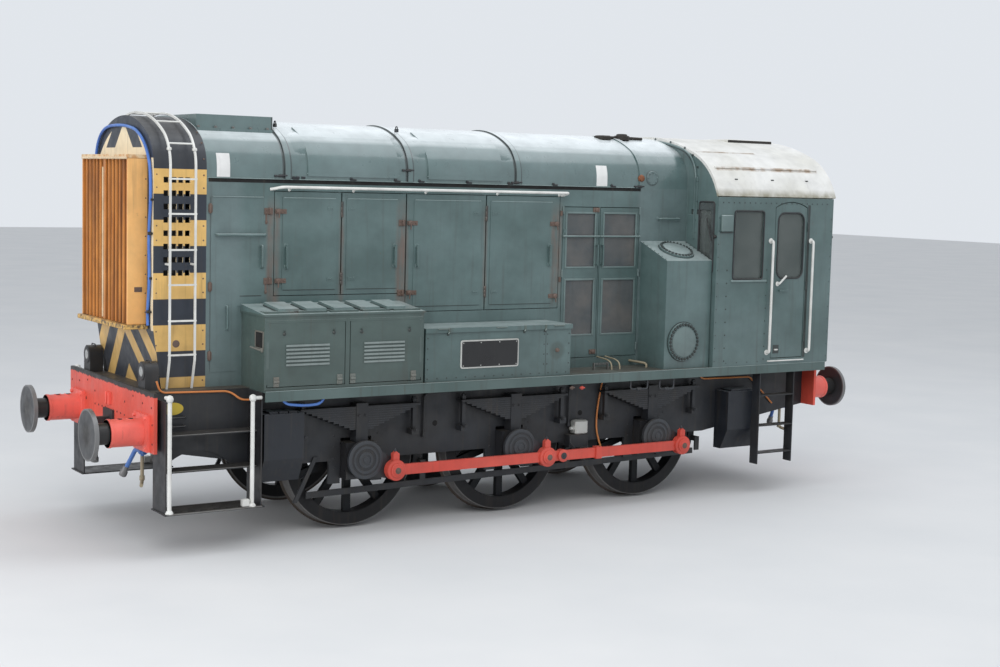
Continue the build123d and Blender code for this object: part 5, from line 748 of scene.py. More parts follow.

# Bonnet doors: handles, straps' bolts, latches and hinge barrels, and painted highlight and shadow strips on
# the raised panels
DOORS = (
    # name, hinge X, latch X, bottom z, top z, handle X, heights of its latches
    ("door_1", 1.953, 2.653, 2.253, 3.23, 2.528, (3.04, 2.395)),
    ("door_2", 1.953, 1.248, 2.253, 3.23, 1.373, ()),
    ("door_3", 0.327, 1.248, 2.07, 3.23, 1.123, (2.942, 2.262)),
    ("door_4", 0.327, -0.578, 2.07, 3.23, -0.453, (2.945, 2.2)),
)
for side in SIDES:
    for name, hinge_x, latch_x, bottom, top, handle_x, latch_heights in DOORS:
        inward = 1 if latch_x > hinge_x else -1
        body = name + "_" + side
        handle = Kit(body + "_handle", green, body, sides=side)
        handle.tube([(handle_x, 0.759, 2.524), (handle_x, 0.788, 2.524), (handle_x, 0.788, 2.72),
            (handle_x, 0.759, 2.72)], 0.0125, 0.028)
        for foot_z in (2.524, 2.72):
            handle.disc((handle_x, 0.76, foot_z), OUT, 0.024, 0.009, 0.016, 0.013, 12)
        for strap_z in (bottom + 0.16 * (top - bottom), top - 0.16 * (top - bottom)):
            for reach in (0.098, 0.117, 0.136):
                handle.bolt((hinge_x + inward * reach, 0.7675, strap_z), radius=0.006, height=0.005)
        near, far = sorted((hinge_x + inward * 0.064, latch_x - inward * 0.098))
        # Painted highlight along the top of each raised panel, and painted shadow under it and beside its
        # far edge.
        Kit(body + "_panel_top", green_light, body, sides=side).box((near, 0.759, top - 0.068),
            (far, 0.7668, top - 0.058), 0.002)
        shade = Kit(body + "_panel_shade", green_dark, body, sides=side)
        shade.box((near, 0.759, bottom + 0.052), (far, 0.7642, bottom + 0.062), 0.001)
        shade.box((far + 0.001, 0.759, bottom + 0.06), (far + 0.0065, 0.7635, top - 0.06), 0.001)
        if name == "door_2":
            keeper = Kit(body + "_keepers", rusty, body, sides=side)
            for keeper_z in (2.942, 2.262):
                keeper.box((1.262, BONNET_Y, keeper_z - 0.03), (1.334, 0.772, keeper_z + 0.03))
                for step_z in (-0.015, 0.015):
                    keeper.bolt((1.316, 0.771, keeper_z + step_z), radius=0.008, height=0.007)
                keeper.tube([(1.29, 0.768, keeper_z - 0.025), (1.29, 0.788, keeper_z - 0.016),
                    (1.29, 0.788, keeper_z + 0.016), (1.29, 0.768, keeper_z + 0.025)], 0.006, 0.01, 8)
        if latch_heights:
            latch = Kit(body + "_latches", rusty, body, sides=side)
            for latch_z in latch_heights:
                near, far = latch_x - inward * 0.012, latch_x - inward * 0.125
                latch.box((min(near, far), BONNET_Y, latch_z - 0.022), (max(near, far), 0.772,
                    latch_z + 0.022))
                latch.turned((latch_x - inward * 0.045, 0.77, latch_z), OUT,
                    ((0, 0.026), (0.01, 0.026), (0.014, 0.018), (0.02, 0.012)), 14)
                latch.tube([(latch_x - inward * 0.045, 0.786, latch_z),
                    (latch_x - inward * 0.04, 0.788, latch_z - 0.062)], 0.006, 0, 8)
                latch.bolt((latch_x - inward * 0.105, 0.771, latch_z), radius=0.008, height=0.006)
# The hinge barrels in the shaded green, each beside a painted shadow line.
hinges = Kit("door_hinge_barrels", green_dark, finish="black_underframe")
for hinge_x, spans in ((1.953, ((2.35, 2.465), (2.99, 3.14))), (0.327, ((2.2, 2.315), (2.965, 3.12)))):
    for low_z, high_z in spans:
        third = (high_z - low_z) / 3
        hinges.box((hinge_x - 0.02, 0.757, low_z), (hinge_x + 0.004, 0.7625, high_z), 0.001)
        for part in range(3):
            hinges.turned((hinge_x, 0.764, low_z + part * third + 0.001), UP,
                ((0, 0.008), (0.002, 0.0095), (third - 0.004, 0.0095), (third - 0.002, 0.008)), 12)
# The staples that the latches close on, and the fixed panel's own hinges
hinges = Kit("door_staples", rusty)
for staple_z in (3.04, 2.395):
    hinges.box((2.669, BONNET_Y, staple_z - 0.03), (2.753, 0.773, staple_z + 0.03))
    hinges.box((2.722, BONNET_Y, staple_z - 0.12), (2.742, 0.768, staple_z + 0.02))
    for bolt_x, bolt_dz in ((2.735, 0.014), (2.735, -0.014), (2.732, -0.1)):
        hinges.bolt((bolt_x, 0.77, staple_z + bolt_dz), radius=0.009)
    hinges.tube([(2.703, 0.768, staple_z - 0.03), (2.703, 0.79, staple_z - 0.02),
        (2.703, 0.79, staple_z + 0.02), (2.703, 0.768, staple_z + 0.03)], 0.006, 0.01, 8)
for panel_z in (3.06, 2.35, 1.72):
    hinges.box((3.262, BONNET_Y, panel_z - 0.034), (3.3, 0.772, panel_z + 0.034))
    hinges.turned((3.284, 0.772, panel_z - 0.045), UP, ((0, 0.009), (0.004, 0.012), (0.086, 0.012),
        (0.09, 0.009)), 12)
for rest_z in (3.055, 2.37):
    hinges.box((-0.602, BONNET_Y, rest_z - 0.026), (-0.582, 0.776, rest_z + 0.026))
# Painted highlight along the fixed panel's top, and painted shadow strips low on it and along its rear edge.
Kit("fixed_panel_top", green_light).box((2.76, 0.764, 3.163), (3.262, 0.7715, 3.172), 0.002)
shade = Kit("fixed_panel_shade", green_dark)
shade.box((2.775, 0.764, 2.256), (2.99, 0.7665, 2.265), 0.001)
shade.box((3.276, BONNET_Y, 1.6), (3.283, 0.7615, 3.16), 0.001)
handle = Kit("fixed_panel_handle", green)
handle.tube([(2.777, 0.759, 2.524), (2.777, 0.796, 2.524), (2.777, 0.796, 2.72), (2.777, 0.759, 2.72)],
    0.0125, 0.03)
handle.tube([(3.118, 0.759, 2.17), (3.118, 0.79, 2.165), (3.118, 0.79, 1.96), (3.118, 0.759, 1.955)], 0.01,
    0.03)

# Mesh doors: angle frames round the panes in a paler green that paints a soft highlight, a bar across and a
# latch
for side in SIDES:
    for name, x_low, x_high, hinge_x in (("mesh_door_1", -1.085, -0.614, -0.614),
            ("mesh_door_2", -1.622, -1.095, -1.622)):
        body = name + "_" + side
        trim = Kit(body + "_frames", green_mid, body, sides=side)
        u0, u1 = x_low + 0.052, x_high - 0.052
        for low_z, high_z in ((1.786, 2.363), (2.496, 3.06)):
            for low_x, high_x, from_z, to_z in ((u0 - 0.012, u0 + 0.006, low_z - 0.012, high_z + 0.012),
                    (u1 - 0.006, u1 + 0.012, low_z - 0.012, high_z + 0.012),
                    (u0, u1, low_z - 0.012, low_z + 0.006), (u0, u1, high_z - 0.006, high_z + 0.012)):
                trim.box((low_x, 0.756, from_z), (high_x, 0.766, to_z), 0.0015)
        trim.tube([(x_low - 0.001, 0.774, 2.818), (x_high + 0.001, 0.774, 2.818)], 0.01, 0, 10)
        for hinge_z in (1.64, 2.43, 3.09):
            inward = 1 if hinge_x < -1 else -1
            trim.turned((hinge_x + inward * 0.004, 0.766, hinge_z - 0.04), UP,
                ((0, 0.006), (0.003, 0.009), (0.077, 0.009), (0.08, 0.006)), 10)
mesh_latch = Kit("mesh_door_latch", rusty, "mesh_door_1_left", sides="left")
mesh_latch_right = Kit("mesh_door_latch_right", rusty, "mesh_door_1_right", sides="right")
for latch in (mesh_latch, mesh_latch_right):
    for latch_z in (3.095, 1.6):
        latch.box((-1.08, BONNET_Y, latch_z - 0.024), (-1.0, 0.772, latch_z + 0.024))
        latch.disc((-1.04, 0.77, latch_z), OUT, 0.022, 0.01, 0.01, 0.018, 12)

# Roof: flange bolts, lifting eyes, seam feet, covers
roof_bolts = Kit("roof_bolts", steel_worn)
for bolt_x in (3.297, 3.129, 2.956, 2.784, 2.612):
    roof_bolts.bolt((bolt_x, 0.506, 3.8), (0, 0.5, 0.87), 0.011, 0.009)
fitting_dark = Kit("roof_lugs", black)
for lug_x, lug_y, lug_z in ((2.52, 0.47, 3.842), (1.213, 0.47, 3.842)):
    fitting_dark.box((lug_x - 0.008, lug_y - 0.03, lug_z - 0.02),
        (lug_x + 0.008, lug_y + 0.03, lug_z + 0.014))
    fitting_dark.tube(
        [(lug_x, lug_y + 0.017 * math.cos(a), lug_z + 0.02 + 0.017 * math.sin(a)) for a in
         (math.tau * step / 12 for step in range(12))], 0.0055, 0, 8, looped=True)
for lug_x in (2.44, 1.837, 1.358, 1.09, 0.542, 0.05, -0.5, -1.25):
    fitting_dark.box((lug_x - 0.034, 0.757, 3.336), (lug_x + 0.034, 0.772, 3.352))
    fitting_dark.disc((lug_x + 0.02, 0.757, 3.356), OUT, 0.012, 0.016, 0.007, 0.02, 10)
# Painted shadow: near-black strips under the roof's edge and under the hatches' lower lips.
gap_shade = Kit("roof_gap", hollow_shade)
gap_shade.box((-1.622, 0.7575, 3.3), (3.3, 0.7625, 3.334), 0.001)
for x0, x1 in ((1.348, 2.315), (0.15, 1.015)):
    gap_shade.box((x0, 0.7575, 3.379), (x1, 0.762, 3.392), 0.001)
# Painted highlight along the roof's lower lip and the hatches' lips.
lips = Kit("roof_lips", green_light)
lips.box((-1.622, 0.757, 3.333), (3.31, 0.77, 3.341), 0.002)
for x0, x1 in ((1.34, 2.323), (0.142, 1.023)):
    lips.box((x0, 0.757, 3.391), (x1, 0.774, 3.4), 0.003)
# Catches at the roof seams, and slopes that lead up to the shoulder hatches' ends
catches = Kit("roof_catches", black)
for catch_x, catch_z in ((2.586, 3.368), (1.236, 3.452), (-0.03, 3.36), (-1.6, 3.35)):
    catches.box((catch_x - 0.024, 0.757, catch_z - 0.013), (catch_x + 0.024, 0.778, catch_z + 0.013))
    catches.tube([(catch_x - 0.058, 0.77, catch_z + 0.004), (catch_x, 0.786, catch_z),
        (catch_x + 0.058, 0.77, catch_z - 0.002)], 0.007, 0.01, 8)
    catches.disc((catch_x + 0.058, 0.757, catch_z - 0.002), OUT, 0.012, 0.018, 0.006, 0.022, 10)
for lug_x in (2.42, 2.36):
    catches.box((lug_x - 0.018, 0.757, 3.345), (lug_x + 0.018, 0.774, 3.366))
slopes = Kit("hatch_slopes", green_roof)
for hatch_edge, end in ((2.315, 2.44), (1.348, 1.256), (1.015, 1.17), (0.15, -0.004)):
    rings = []
    for x, reach in ((hatch_edge, 0.3762), ((hatch_edge + end) / 2, 0.369), (end, 0.36)):
        arc = [math.radians(25 + 65 * step / 16) for step in range(17)]
        feather = [min(1.0, step / 3, (16 - step) / 3) for step in range(17)]
        outer = []
        for a, share in zip(arc, feather):
            radius = 0.359 + (reach - 0.359) * share
            outer.append(Vector((x, 0.4 + radius * math.cos(a), 3.42 + radius * math.sin(a))))
        inner = [Vector((x, 0.4 + 0.355 * math.cos(a), 3.42 + 0.355 * math.sin(a))) for a in reversed(arc)]
        rings.append(outer + inner)
    slopes.loft(rings)
outlet = Kit("roof_outlet", soot_black, sides="left")
outlet.box((-1.54, 0.18, 3.84), (-1.4, 0.33, 3.893), 0.012)
outlet.tube([(-1.48, 0.26, 3.872), (-1.72, 0.26, 3.876), (-2.0, 0.26, 3.872)], 0.016, 0.02)
outlet.turned((-1.725, 0.26, 3.85), UP, ((0, 0.085), (0.045, 0.085), (0.052, 0.06), (0.062, 0.06),
    (0.068, 0.04)), 24)
Kit("cab_roof_hatch", roof_white, sides="left").box((-3.83, -0.35, 3.84), (-3.18, 0.35, 3.912), 0.006)
Kit("cab_roof_hatch_rim", soot_black).box((-3.834, 0.348, 3.87), (-3.176, 0.355, 3.906), 0.002)

# Rear of the bonnet: filler plug, round cover, bar handle
Kit("bonnet_plug", copper, sides="left").turned((-1.621, BONNET_Y, 3.437), OUT,
    ((0, 0.04), (0.012, 0.04), (0.015, 0.034), (0.03, 0.03), (0.034, 0.022)), 24)
# A painted shadow ring behind the round cover.
Kit("bonnet_round_cover_rim", green_dark).disc((-1.774, 0.746, 3.444), (0, 1, 0.05), 0.082, 0.016, 0.078,
    0.018, 32)
cover = Kit("bonnet_round_cover", green)
cover.turned((-1.774, 0.748, 3.444), (0, 1, 0.05), ((0, 0.074), (0.018, 0.074), (0.022, 0.07),
    (0.024, 0.03)), 32)
for step in range(8):
    angle = math.tau * step / 8
    cover.bolt((-1.774 + 0.06 * math.cos(angle), 0.77, 3.445 + 0.06 * math.sin(angle)), radius=0.008,
        height=0.009)
bar = Kit("bonnet_bar_handle", green)
bar.tube([(-1.867, BONNET_Y, 3.01), (-1.867, 0.803, 3.01), (-2.144, 0.803, 3.01),
    (-2.144, BONNET_Y, 3.01)], 0.011, 0.03)
for foot_x in (-1.867, -2.144):
    bar.disc((foot_x, 0.76, 3.01), OUT, 0.022, 0.006, 0.014, 0.009, 12)

# The angle that joins the cab's front wall to the bonnet
joint_strip = Kit("cab_joint_strip", green_cab)
joint_strip.box((-2.263, 0.8, 2.44), (-2.254, 0.972, 3.066))
joint_strip.box((-2.263, 0.908, 2.8), (-2.236, 0.92, 3.47))
joint_strip.box((-2.263, 0.908, 2.8), (-2.25, 0.944, 3.47))
arch = [(-2.252, 0.914, 3.46), (-2.252, 0.892, 3.58), (-2.252, 0.82, 3.69), (-2.252, 0.7, 3.765),
    (-2.252, 0.45, 3.826), (-2.252, 0.18, 3.86), (-2.252, 0.0, 3.866)]
joint_strip.tube(arch, 0.013, 0.1)
# Bolts in the shaded green, and a painted shadow line that runs under the arch strip.
joint_bolts = Kit("cab_joint_bolts", green_dark)
for bolt_y, bolt_z in ((0.934, 2.87), (0.934, 3.005), (0.934, 3.205), (0.934, 3.42), (0.925, 3.575),
        (0.838, 3.705), (0.7, 3.785), (0.45, 3.846), (0.18, 3.88)):
    joint_bolts.bolt((-2.258, bolt_y, bolt_z), AHEAD, 0.009)
joint_bolts.tube([(x - 0.006, y - 0.02 if z > 3.5 else y - 0.018, z - 0.016) for x, y, z in arch], 0.005,
    0.1, 8)

# Battery box: catches, hinges and the end hole
box_fittings = Kit("battery_box_hinges", hinge_grey)
for hinge_x in (2.85, 2.211, 2.076, 1.431):
    for plate_z, half in ((1.49, 0.018), (1.545, 0.018)):
        box_fittings.box((hinge_x - 0.027, 1.268, plate_z - half), (hinge_x + 0.027, 1.279, plate_z + half))
        for bolt_x in (hinge_x - 0.014, hinge_x + 0.014):
            box_fittings.bolt((bolt_x, 1.278, plate_z), radius=0.0065, height=0.006)
    box_fittings.turned((hinge_x - 0.027, 1.278, 1.518), AHEAD,
        ((0, 0.008), (0.003, 0.011), (0.051, 0.011), (0.054, 0.008)), 12)
box_fittings.box((2.966, 1.075, 1.812), (2.974, 1.248, 1.826))
box_fittings.box((2.966, 1.075, 1.962), (2.974, 1.248, 1.976))
box_fittings.box((2.966, 1.07, 1.812), (2.974, 1.084, 1.976))
box_fittings.box((2.966, 1.239, 1.812), (2.974, 1.253, 1.976))
box_fittings.tube([(2.968, 1.225, 1.806), (2.992, 1.225, 1.808), (3.02, 1.08, 1.826)], 0.008, 0.01, 8)
box_fittings.disc((2.966, 1.225, 1.806), AHEAD, 0.022, 0.01, 0.012, 0.016, 12)
# Painted shade in the hole at the box's end.
Kit("battery_box_hole", hollow_shade).box((2.96, 1.084, 1.824), (2.9685, 1.24, 1.964), 0.001)
for side in SIDES:
    for leaf, spots in (("battery_leaf_front_", (2.773, 2.275)), ("battery_leaf_rear_", (1.99, 1.478))):
        # Catches in the shaded green.
        catch = Kit(leaf + side + "_catches", green_dark, leaf + side, sides=side)
        for catch_x in spots:
            catch.turned((catch_x, 1.268, 1.95), OUT, ((0, 0.017), (0.005, 0.017), (0.01, 0.01),
                (0.014, 0.006)), 12)
            catch.box((catch_x - 0.005, 1.274, 1.938), (catch_x + 0.005, 1.287, 1.982), 0.003)

Kit("battery_box_lid_slope", green).loft([[Vector((x, y, z))
    for y, z in ((1.276, 2.11), (1.279, 2.128), (0.762, 2.188), (0.762, 2.11))] for x in (1.312, 2.975)])
# Pads on the lid in a soft painted highlight, each on a dark, slightly larger plate that paints its shadow.
lid_pads = Kit("battery_box_lid_pads", green_mid)
pad_shadows = Kit("battery_box_pad_gaskets", green_dark)
for middle in (1.59, 1.867, 2.145, 2.422, 2.7):
    for kit, half, low, high, y0, y1 in ((pad_shadows, 0.106, -0.004, 0.012, 0.87, 1.214),
            (lid_pads, 0.1, 0.011, 0.036, 0.878, 1.206)):
        rise = 0.06 / 0.517
        z0, z1 = 2.128 + (1.279 - y0) * rise, 2.128 + (1.279 - y1) * rise
        kit.loft([[Vector((middle - half, y0, z0 + lift)), Vector((middle + half, y0, z0 + lift)),
            Vector((middle + half, y1, z1 + lift)), Vector((middle - half, y1, z1 + lift))]
            for lift in (low, high)])
for side in SIDES:
    for name in ("battery_leaf_front_", "battery_leaf_rear_"):
        low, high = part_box(name + "left")
        lip = Kit(name + side + "_lip", green_battery, name + side, sides=side)
        lip.box((low[0] - 0.012, 1.2655, high[2] - 0.014), (high[0] + 0.012, 1.2715, high[2] + 0.012),
            0.001)
        outside = (high[0] - 0.014, high[0] + 0.012) if name == "battery_leaf_front_" else (low[0] - 0.012,
            low[0] + 0.014)
        lip.box((outside[0], 1.2655, low[2] + 0.02), (outside[1], 1.2715, high[2] - 0.014), 0.001)

# Tool box: catches, rivets, lid handles, the blank nameplate and a knob
# Rivets, the joint line and the catches in the shaded green.
tool_trim = Kit("tool_box_rivets", green_dark)
for rivet_x in [1.262 - 0.108 * step for step in range(16)]:
    tool_trim.rivet((rivet_x, 1.2495, 1.47), radius=0.0075)
for rivet_z in (1.56, 1.66, 1.76, 1.86):
    for rivet_x in (1.262, -0.085, -0.125, -0.388):
        tool_trim.rivet((rivet_x, 1.2495, rivet_z), radius=0.0075)
Kit("tool_box_knob", rusty).turned((-0.244, 1.248, 1.695), OUT,
    ((0, 0.022), (0.006, 0.022), (0.012, 0.012), (0.022, 0.018), (0.03, 0.012)), 16)
tool_line = Kit("tool_box_joint", green_dark)
tool_line.box((-0.108, 1.2485, 1.45), (-0.103, 1.251, 1.9), 0.0008)
for catch_x in (1.039, 0.159, -0.089):
    tool_line.box((catch_x - 0.012, 1.248, 1.88), (catch_x + 0.012, 1.256, 1.908), 0.002)
for side in SIDES:
    lid = Kit("tool_lid_handles_" + side, green_trim, "tool_lid_" + side, sides=side)
    for catch_x in (1.039, 0.159, -0.089):
        lid.box((catch_x - 0.012, 1.264, 1.905), (catch_x + 0.012, 1.276, 1.96), 0.003)
        lid.tube([(catch_x, 1.272, 1.915), (catch_x + 0.006, 1.282, 1.905), (catch_x + 0.02, 1.284, 1.9)],
            0.006, 0.005, 8)
    for handle_x in (1.101, 0.439, -0.25):
        lid.tube([(handle_x - 0.06, 1.262, 1.95), (handle_x - 0.06, 1.279, 1.946),
            (handle_x + 0.06, 1.279, 1.946), (handle_x + 0.06, 1.262, 1.95)], 0.006, 0.012, 8)
outline = frame_outline(0.222, 0.896, 1.552, 1.83, 0.022)
plate = Kit("nameplate_border", plate_border, sides="left")
plate.plate(outline, on_side(1.25), 0.008)
face = Kit("nameplate_blank", plate_dark, sides="left")
face.plate(frame_outline(0.236, 0.882, 1.566, 1.816, 0.014), on_side(1.25), 0.0095, 0.001)
screws = Kit("nameplate_screws", plate_border, sides="left")
for screw_x in (0.252, 0.452, 0.666, 0.866):
    for screw_z in (1.58, 1.802):
        screws.rivet((screw_x, 1.2595, screw_z), radius=0.006)

# Blank white notices
notices = Kit("notice_plates", notice_white, sides="left")
notices.plate(frame_outline(3.066, 3.215, 1.608, 1.835, 0.006, 2), on_side(0.76), 0.003, 0.001)
SHOULDER_Y, SHOULDER_Z, SHOULDER_RADIUS = 0.4, 3.42, 0.36
for x0, x1 in ((3.093, 3.221), (-1.173, -1.034)):
    rings = []
    for z in (3.346, 3.385, 3.42, 3.447, 3.475, 3.503, 3.531, 3.559):
        lift = max(z - SHOULDER_Z, 0)
        y = SHOULDER_Y + math.sqrt(SHOULDER_RADIUS ** 2 - lift ** 2)
        away = Vector((0, y - SHOULDER_Y, lift)).normalized()
        inner, outer = Vector((0, y, z)) - 0.002 * away, Vector((0, y, z)) + 0.003 * away
        rings.append([inner + Vector((x0, 0, 0)), outer + Vector((x0, 0, 0)), outer + Vector((x1, 0, 0)),
            inner + Vector((x1, 0, 0))])
    notices.loft(rings)
oval = Kit("yellow_oval", oval_yellow, sides="left")
ring = [(3.7 + 0.098 * math.cos(a), 1.28 + 0.056 * math.sin(a))
    for a in (math.tau * s / 32 for s in range(32))]
oval.plate(ring, on_side(0.95), 0.004, 0.001)

# Fuel tanks: the bolted covers and the angle strips round the slope
# Bolts and rivets in the shaded green, and a dark ring behind each cover that paints its shadow.
tank = Kit("tank_cover_bolts", green_dark)
for step in range(30):
    angle = math.tau * step / 30
    tank.bolt((-1.887 + 0.184 * math.cos(angle), 1.2515, 1.722 + 0.184 * math.sin(angle)), radius=0.012,
        height=0.015)
slope = Vector((0, 0.188, 0.47)).normalized()
down = Vector((0, 0.47, -0.188)).normalized()
cover_at = Vector((-1.945, 0.995, 2.676)) + slope * 0.021
for step in range(28):
    angle = math.tau * step / 28
    spot = cover_at + 0.17 * math.cos(angle) * Vector(AHEAD) + 0.17 * math.sin(angle) * down
    tank.bolt(spot, slope, 0.012, 0.015)
tank.turned(cover_at - slope * 0.0225, slope, ((0, 0.2), (0.004, 0.2)), 40)
tank.turned((-1.887, 1.2285, 1.722), OUT, ((0, 0.215), (0.004, 0.215)), 40)
for edge_x in (-1.652, -2.24):
    for step in range(7):
        share = (step + 0.5) / 7
        spot = Vector((edge_x, 1.222 - 0.45 * share, 2.586 + 0.18 * share))
        tank.rivet(spot, slope, 0.008)

# Cover discs in a soft painted highlight.
discs = Kit("tank_cover_discs", green_mid)
discs.disc((-1.887, 1.2475, 1.722), OUT, 0.16, 0.008, 0.155, 0.011, 40)
discs.turned(cover_at - slope * 0.003, slope, ((0, 0.148), (0.01, 0.148), (0.013, 0.143)), 40)

# Cab: rubber round the windows, door furniture, wipers, box, sill and rivets
rubber = Kit("cab_window_rubber", black)
side_window = [(x, 1.2915, z) for x, z in frame_outline(-2.921, -2.495, 2.381, 3.118, 0.03, 5)]
rubber.tube(side_window, 0.008, 0, 8, looped=True)
for x in (CAB_FRONT_X, CAB_REAR_X):
    sense = 1 if x > -3 else -1
    y0, y1, top = (0.985, 1.232, 3.206) if x > -3 else (0.84, 1.18, 3.122)
    outline = frame_outline(y0, y1, 2.45, top, 0.03, 5)
    rubber.tube([(x + sense * 0.004, y, z) for y, z in outline], 0.009, 0, 8, looped=True)
blind = Kit("front_window_margins", pane_grey)
blind.box((-2.264, 0.975, 3.12), (-2.2585, 1.228, 3.202), 0.001)
blind.box((-2.264, 1.178, 2.455), (-2.2585, 1.228, 3.125), 0.001)
for side in SIDES:
    door = Kit("cab_door_trim_" + side, black, "cab_door_" + side, sides=side)
    window = [(x, CAB_Y, z) for x, z in frame_outline(-3.512, -3.129, 2.384, 3.103, 0.09, 6)]
    door.tube(window, 0.008, 0, 8, looped=True)
    lever = Kit("cab_door_lever_" + side, white, "cab_door_" + side, sides=side)
    lever.tube([(-3.15, 1.286, 2.325), (-3.15, 1.318, 2.325), (-3.248, 1.322, 2.412)], 0.0115, 0.02)
    lever.disc((-3.15, 1.287, 2.325), OUT, 0.026, 0.006, 0.016, 0.01, 16)
    lever.box((-3.185, 1.286, 1.59), (-3.135, 1.306, 1.606), 0.004)
# Painted highlight strip under the side window.
Kit("cab_sill_and_box", green_light).box((-2.976, 1.288, 2.352), (-2.47, 1.306, 2.372))
# The vent box in a soft painted highlight.
Kit("cab_vent_box", green_mid).box((-2.464, 1.288, 2.893), (-2.301, 1.32, 3.072), 0.008)
# Painted shadow under the vent box, painted shade in the slit beside the door and behind the foot lever, and
# rivets, lugs and hinges in the shaded green.
cab_trim = Kit("cab_rivets", green_dark)
cab_trim.box((-2.466, 1.2885, 2.88), (-2.299, 1.305, 2.894), 0.002)
for rivet_x in [-2.33 - 0.076 * step for step in range(21)]:
    cab_trim.rivet((rivet_x, CAB_Y, 3.205), radius=0.0085)
for rivet_z in [1.5 + 0.14 * step for step in range(8)]:
    cab_trim.rivet((-2.416, CAB_Y, rivet_z), radius=0.0095)
    cab_trim.rivet((-2.985, CAB_Y, rivet_z), radius=0.0085)
for rivet_z in [1.5 + 0.14 * step for step in range(12)]:
    cab_trim.rivet((-2.283, CAB_Y, rivet_z), radius=0.007)
    cab_trim.rivet((-3.925, CAB_Y, rivet_z), radius=0.007)
for rivet_x in [-2.45 - 0.15 * step for step in range(4)]:
    cab_trim.rivet((rivet_x, CAB_Y, 1.475), radius=0.0075)
cab_trim.box((-3.6, 1.2885, 1.5), (-3.563, 1.2915, 3.19), 0.001)
cab_trim.box((-3.206, 1.2885, 1.556), (-3.12, 1.2915, 1.65), 0.001)
for lug_x in (-2.57, -3.09, -3.6):
    cab_trim.box((lug_x - 0.02, 1.196, 3.45), (lug_x + 0.02, 1.212, 3.462), 0.002)
for hinge_z in (1.72, 2.3, 2.95):
    cab_trim.turned((-3.572, 1.294, hinge_z - 0.05), UP, ((0, 0.008), (0.003, 0.011), (0.097, 0.011),
        (0.1, 0.008)), 10)
Kit("cab_door_sills", white).box((-3.583, 1.288, 1.467), (-3.043, 1.299, 1.482), 0.002)
Kit("cab_roof_strips", roof_white, finish="white_paint").tube([(-2.31, 0.826, 3.742),
    (-3.14, 0.826, 3.742)], 0.01, 0, 8)
wipers = Kit("cab_wipers", black)
for x, sense in ((CAB_FRONT_X, 1), (CAB_REAR_X, -1)):
    wipers.disc((x, 1.262, 2.84), (sense, 0, 0), 0.018, 0.02, 0.012, 0.026, 14)
    wipers.tube([(x + sense * 0.022, 1.255, 2.84), (x + sense * 0.018, 1.15, 2.965)], 0.005, 0, 8)
    wipers.tube([(x + sense * 0.012, 1.205, 2.79), (x + sense * 0.012, 1.12, 3.03)], 0.0055, 0, 8)

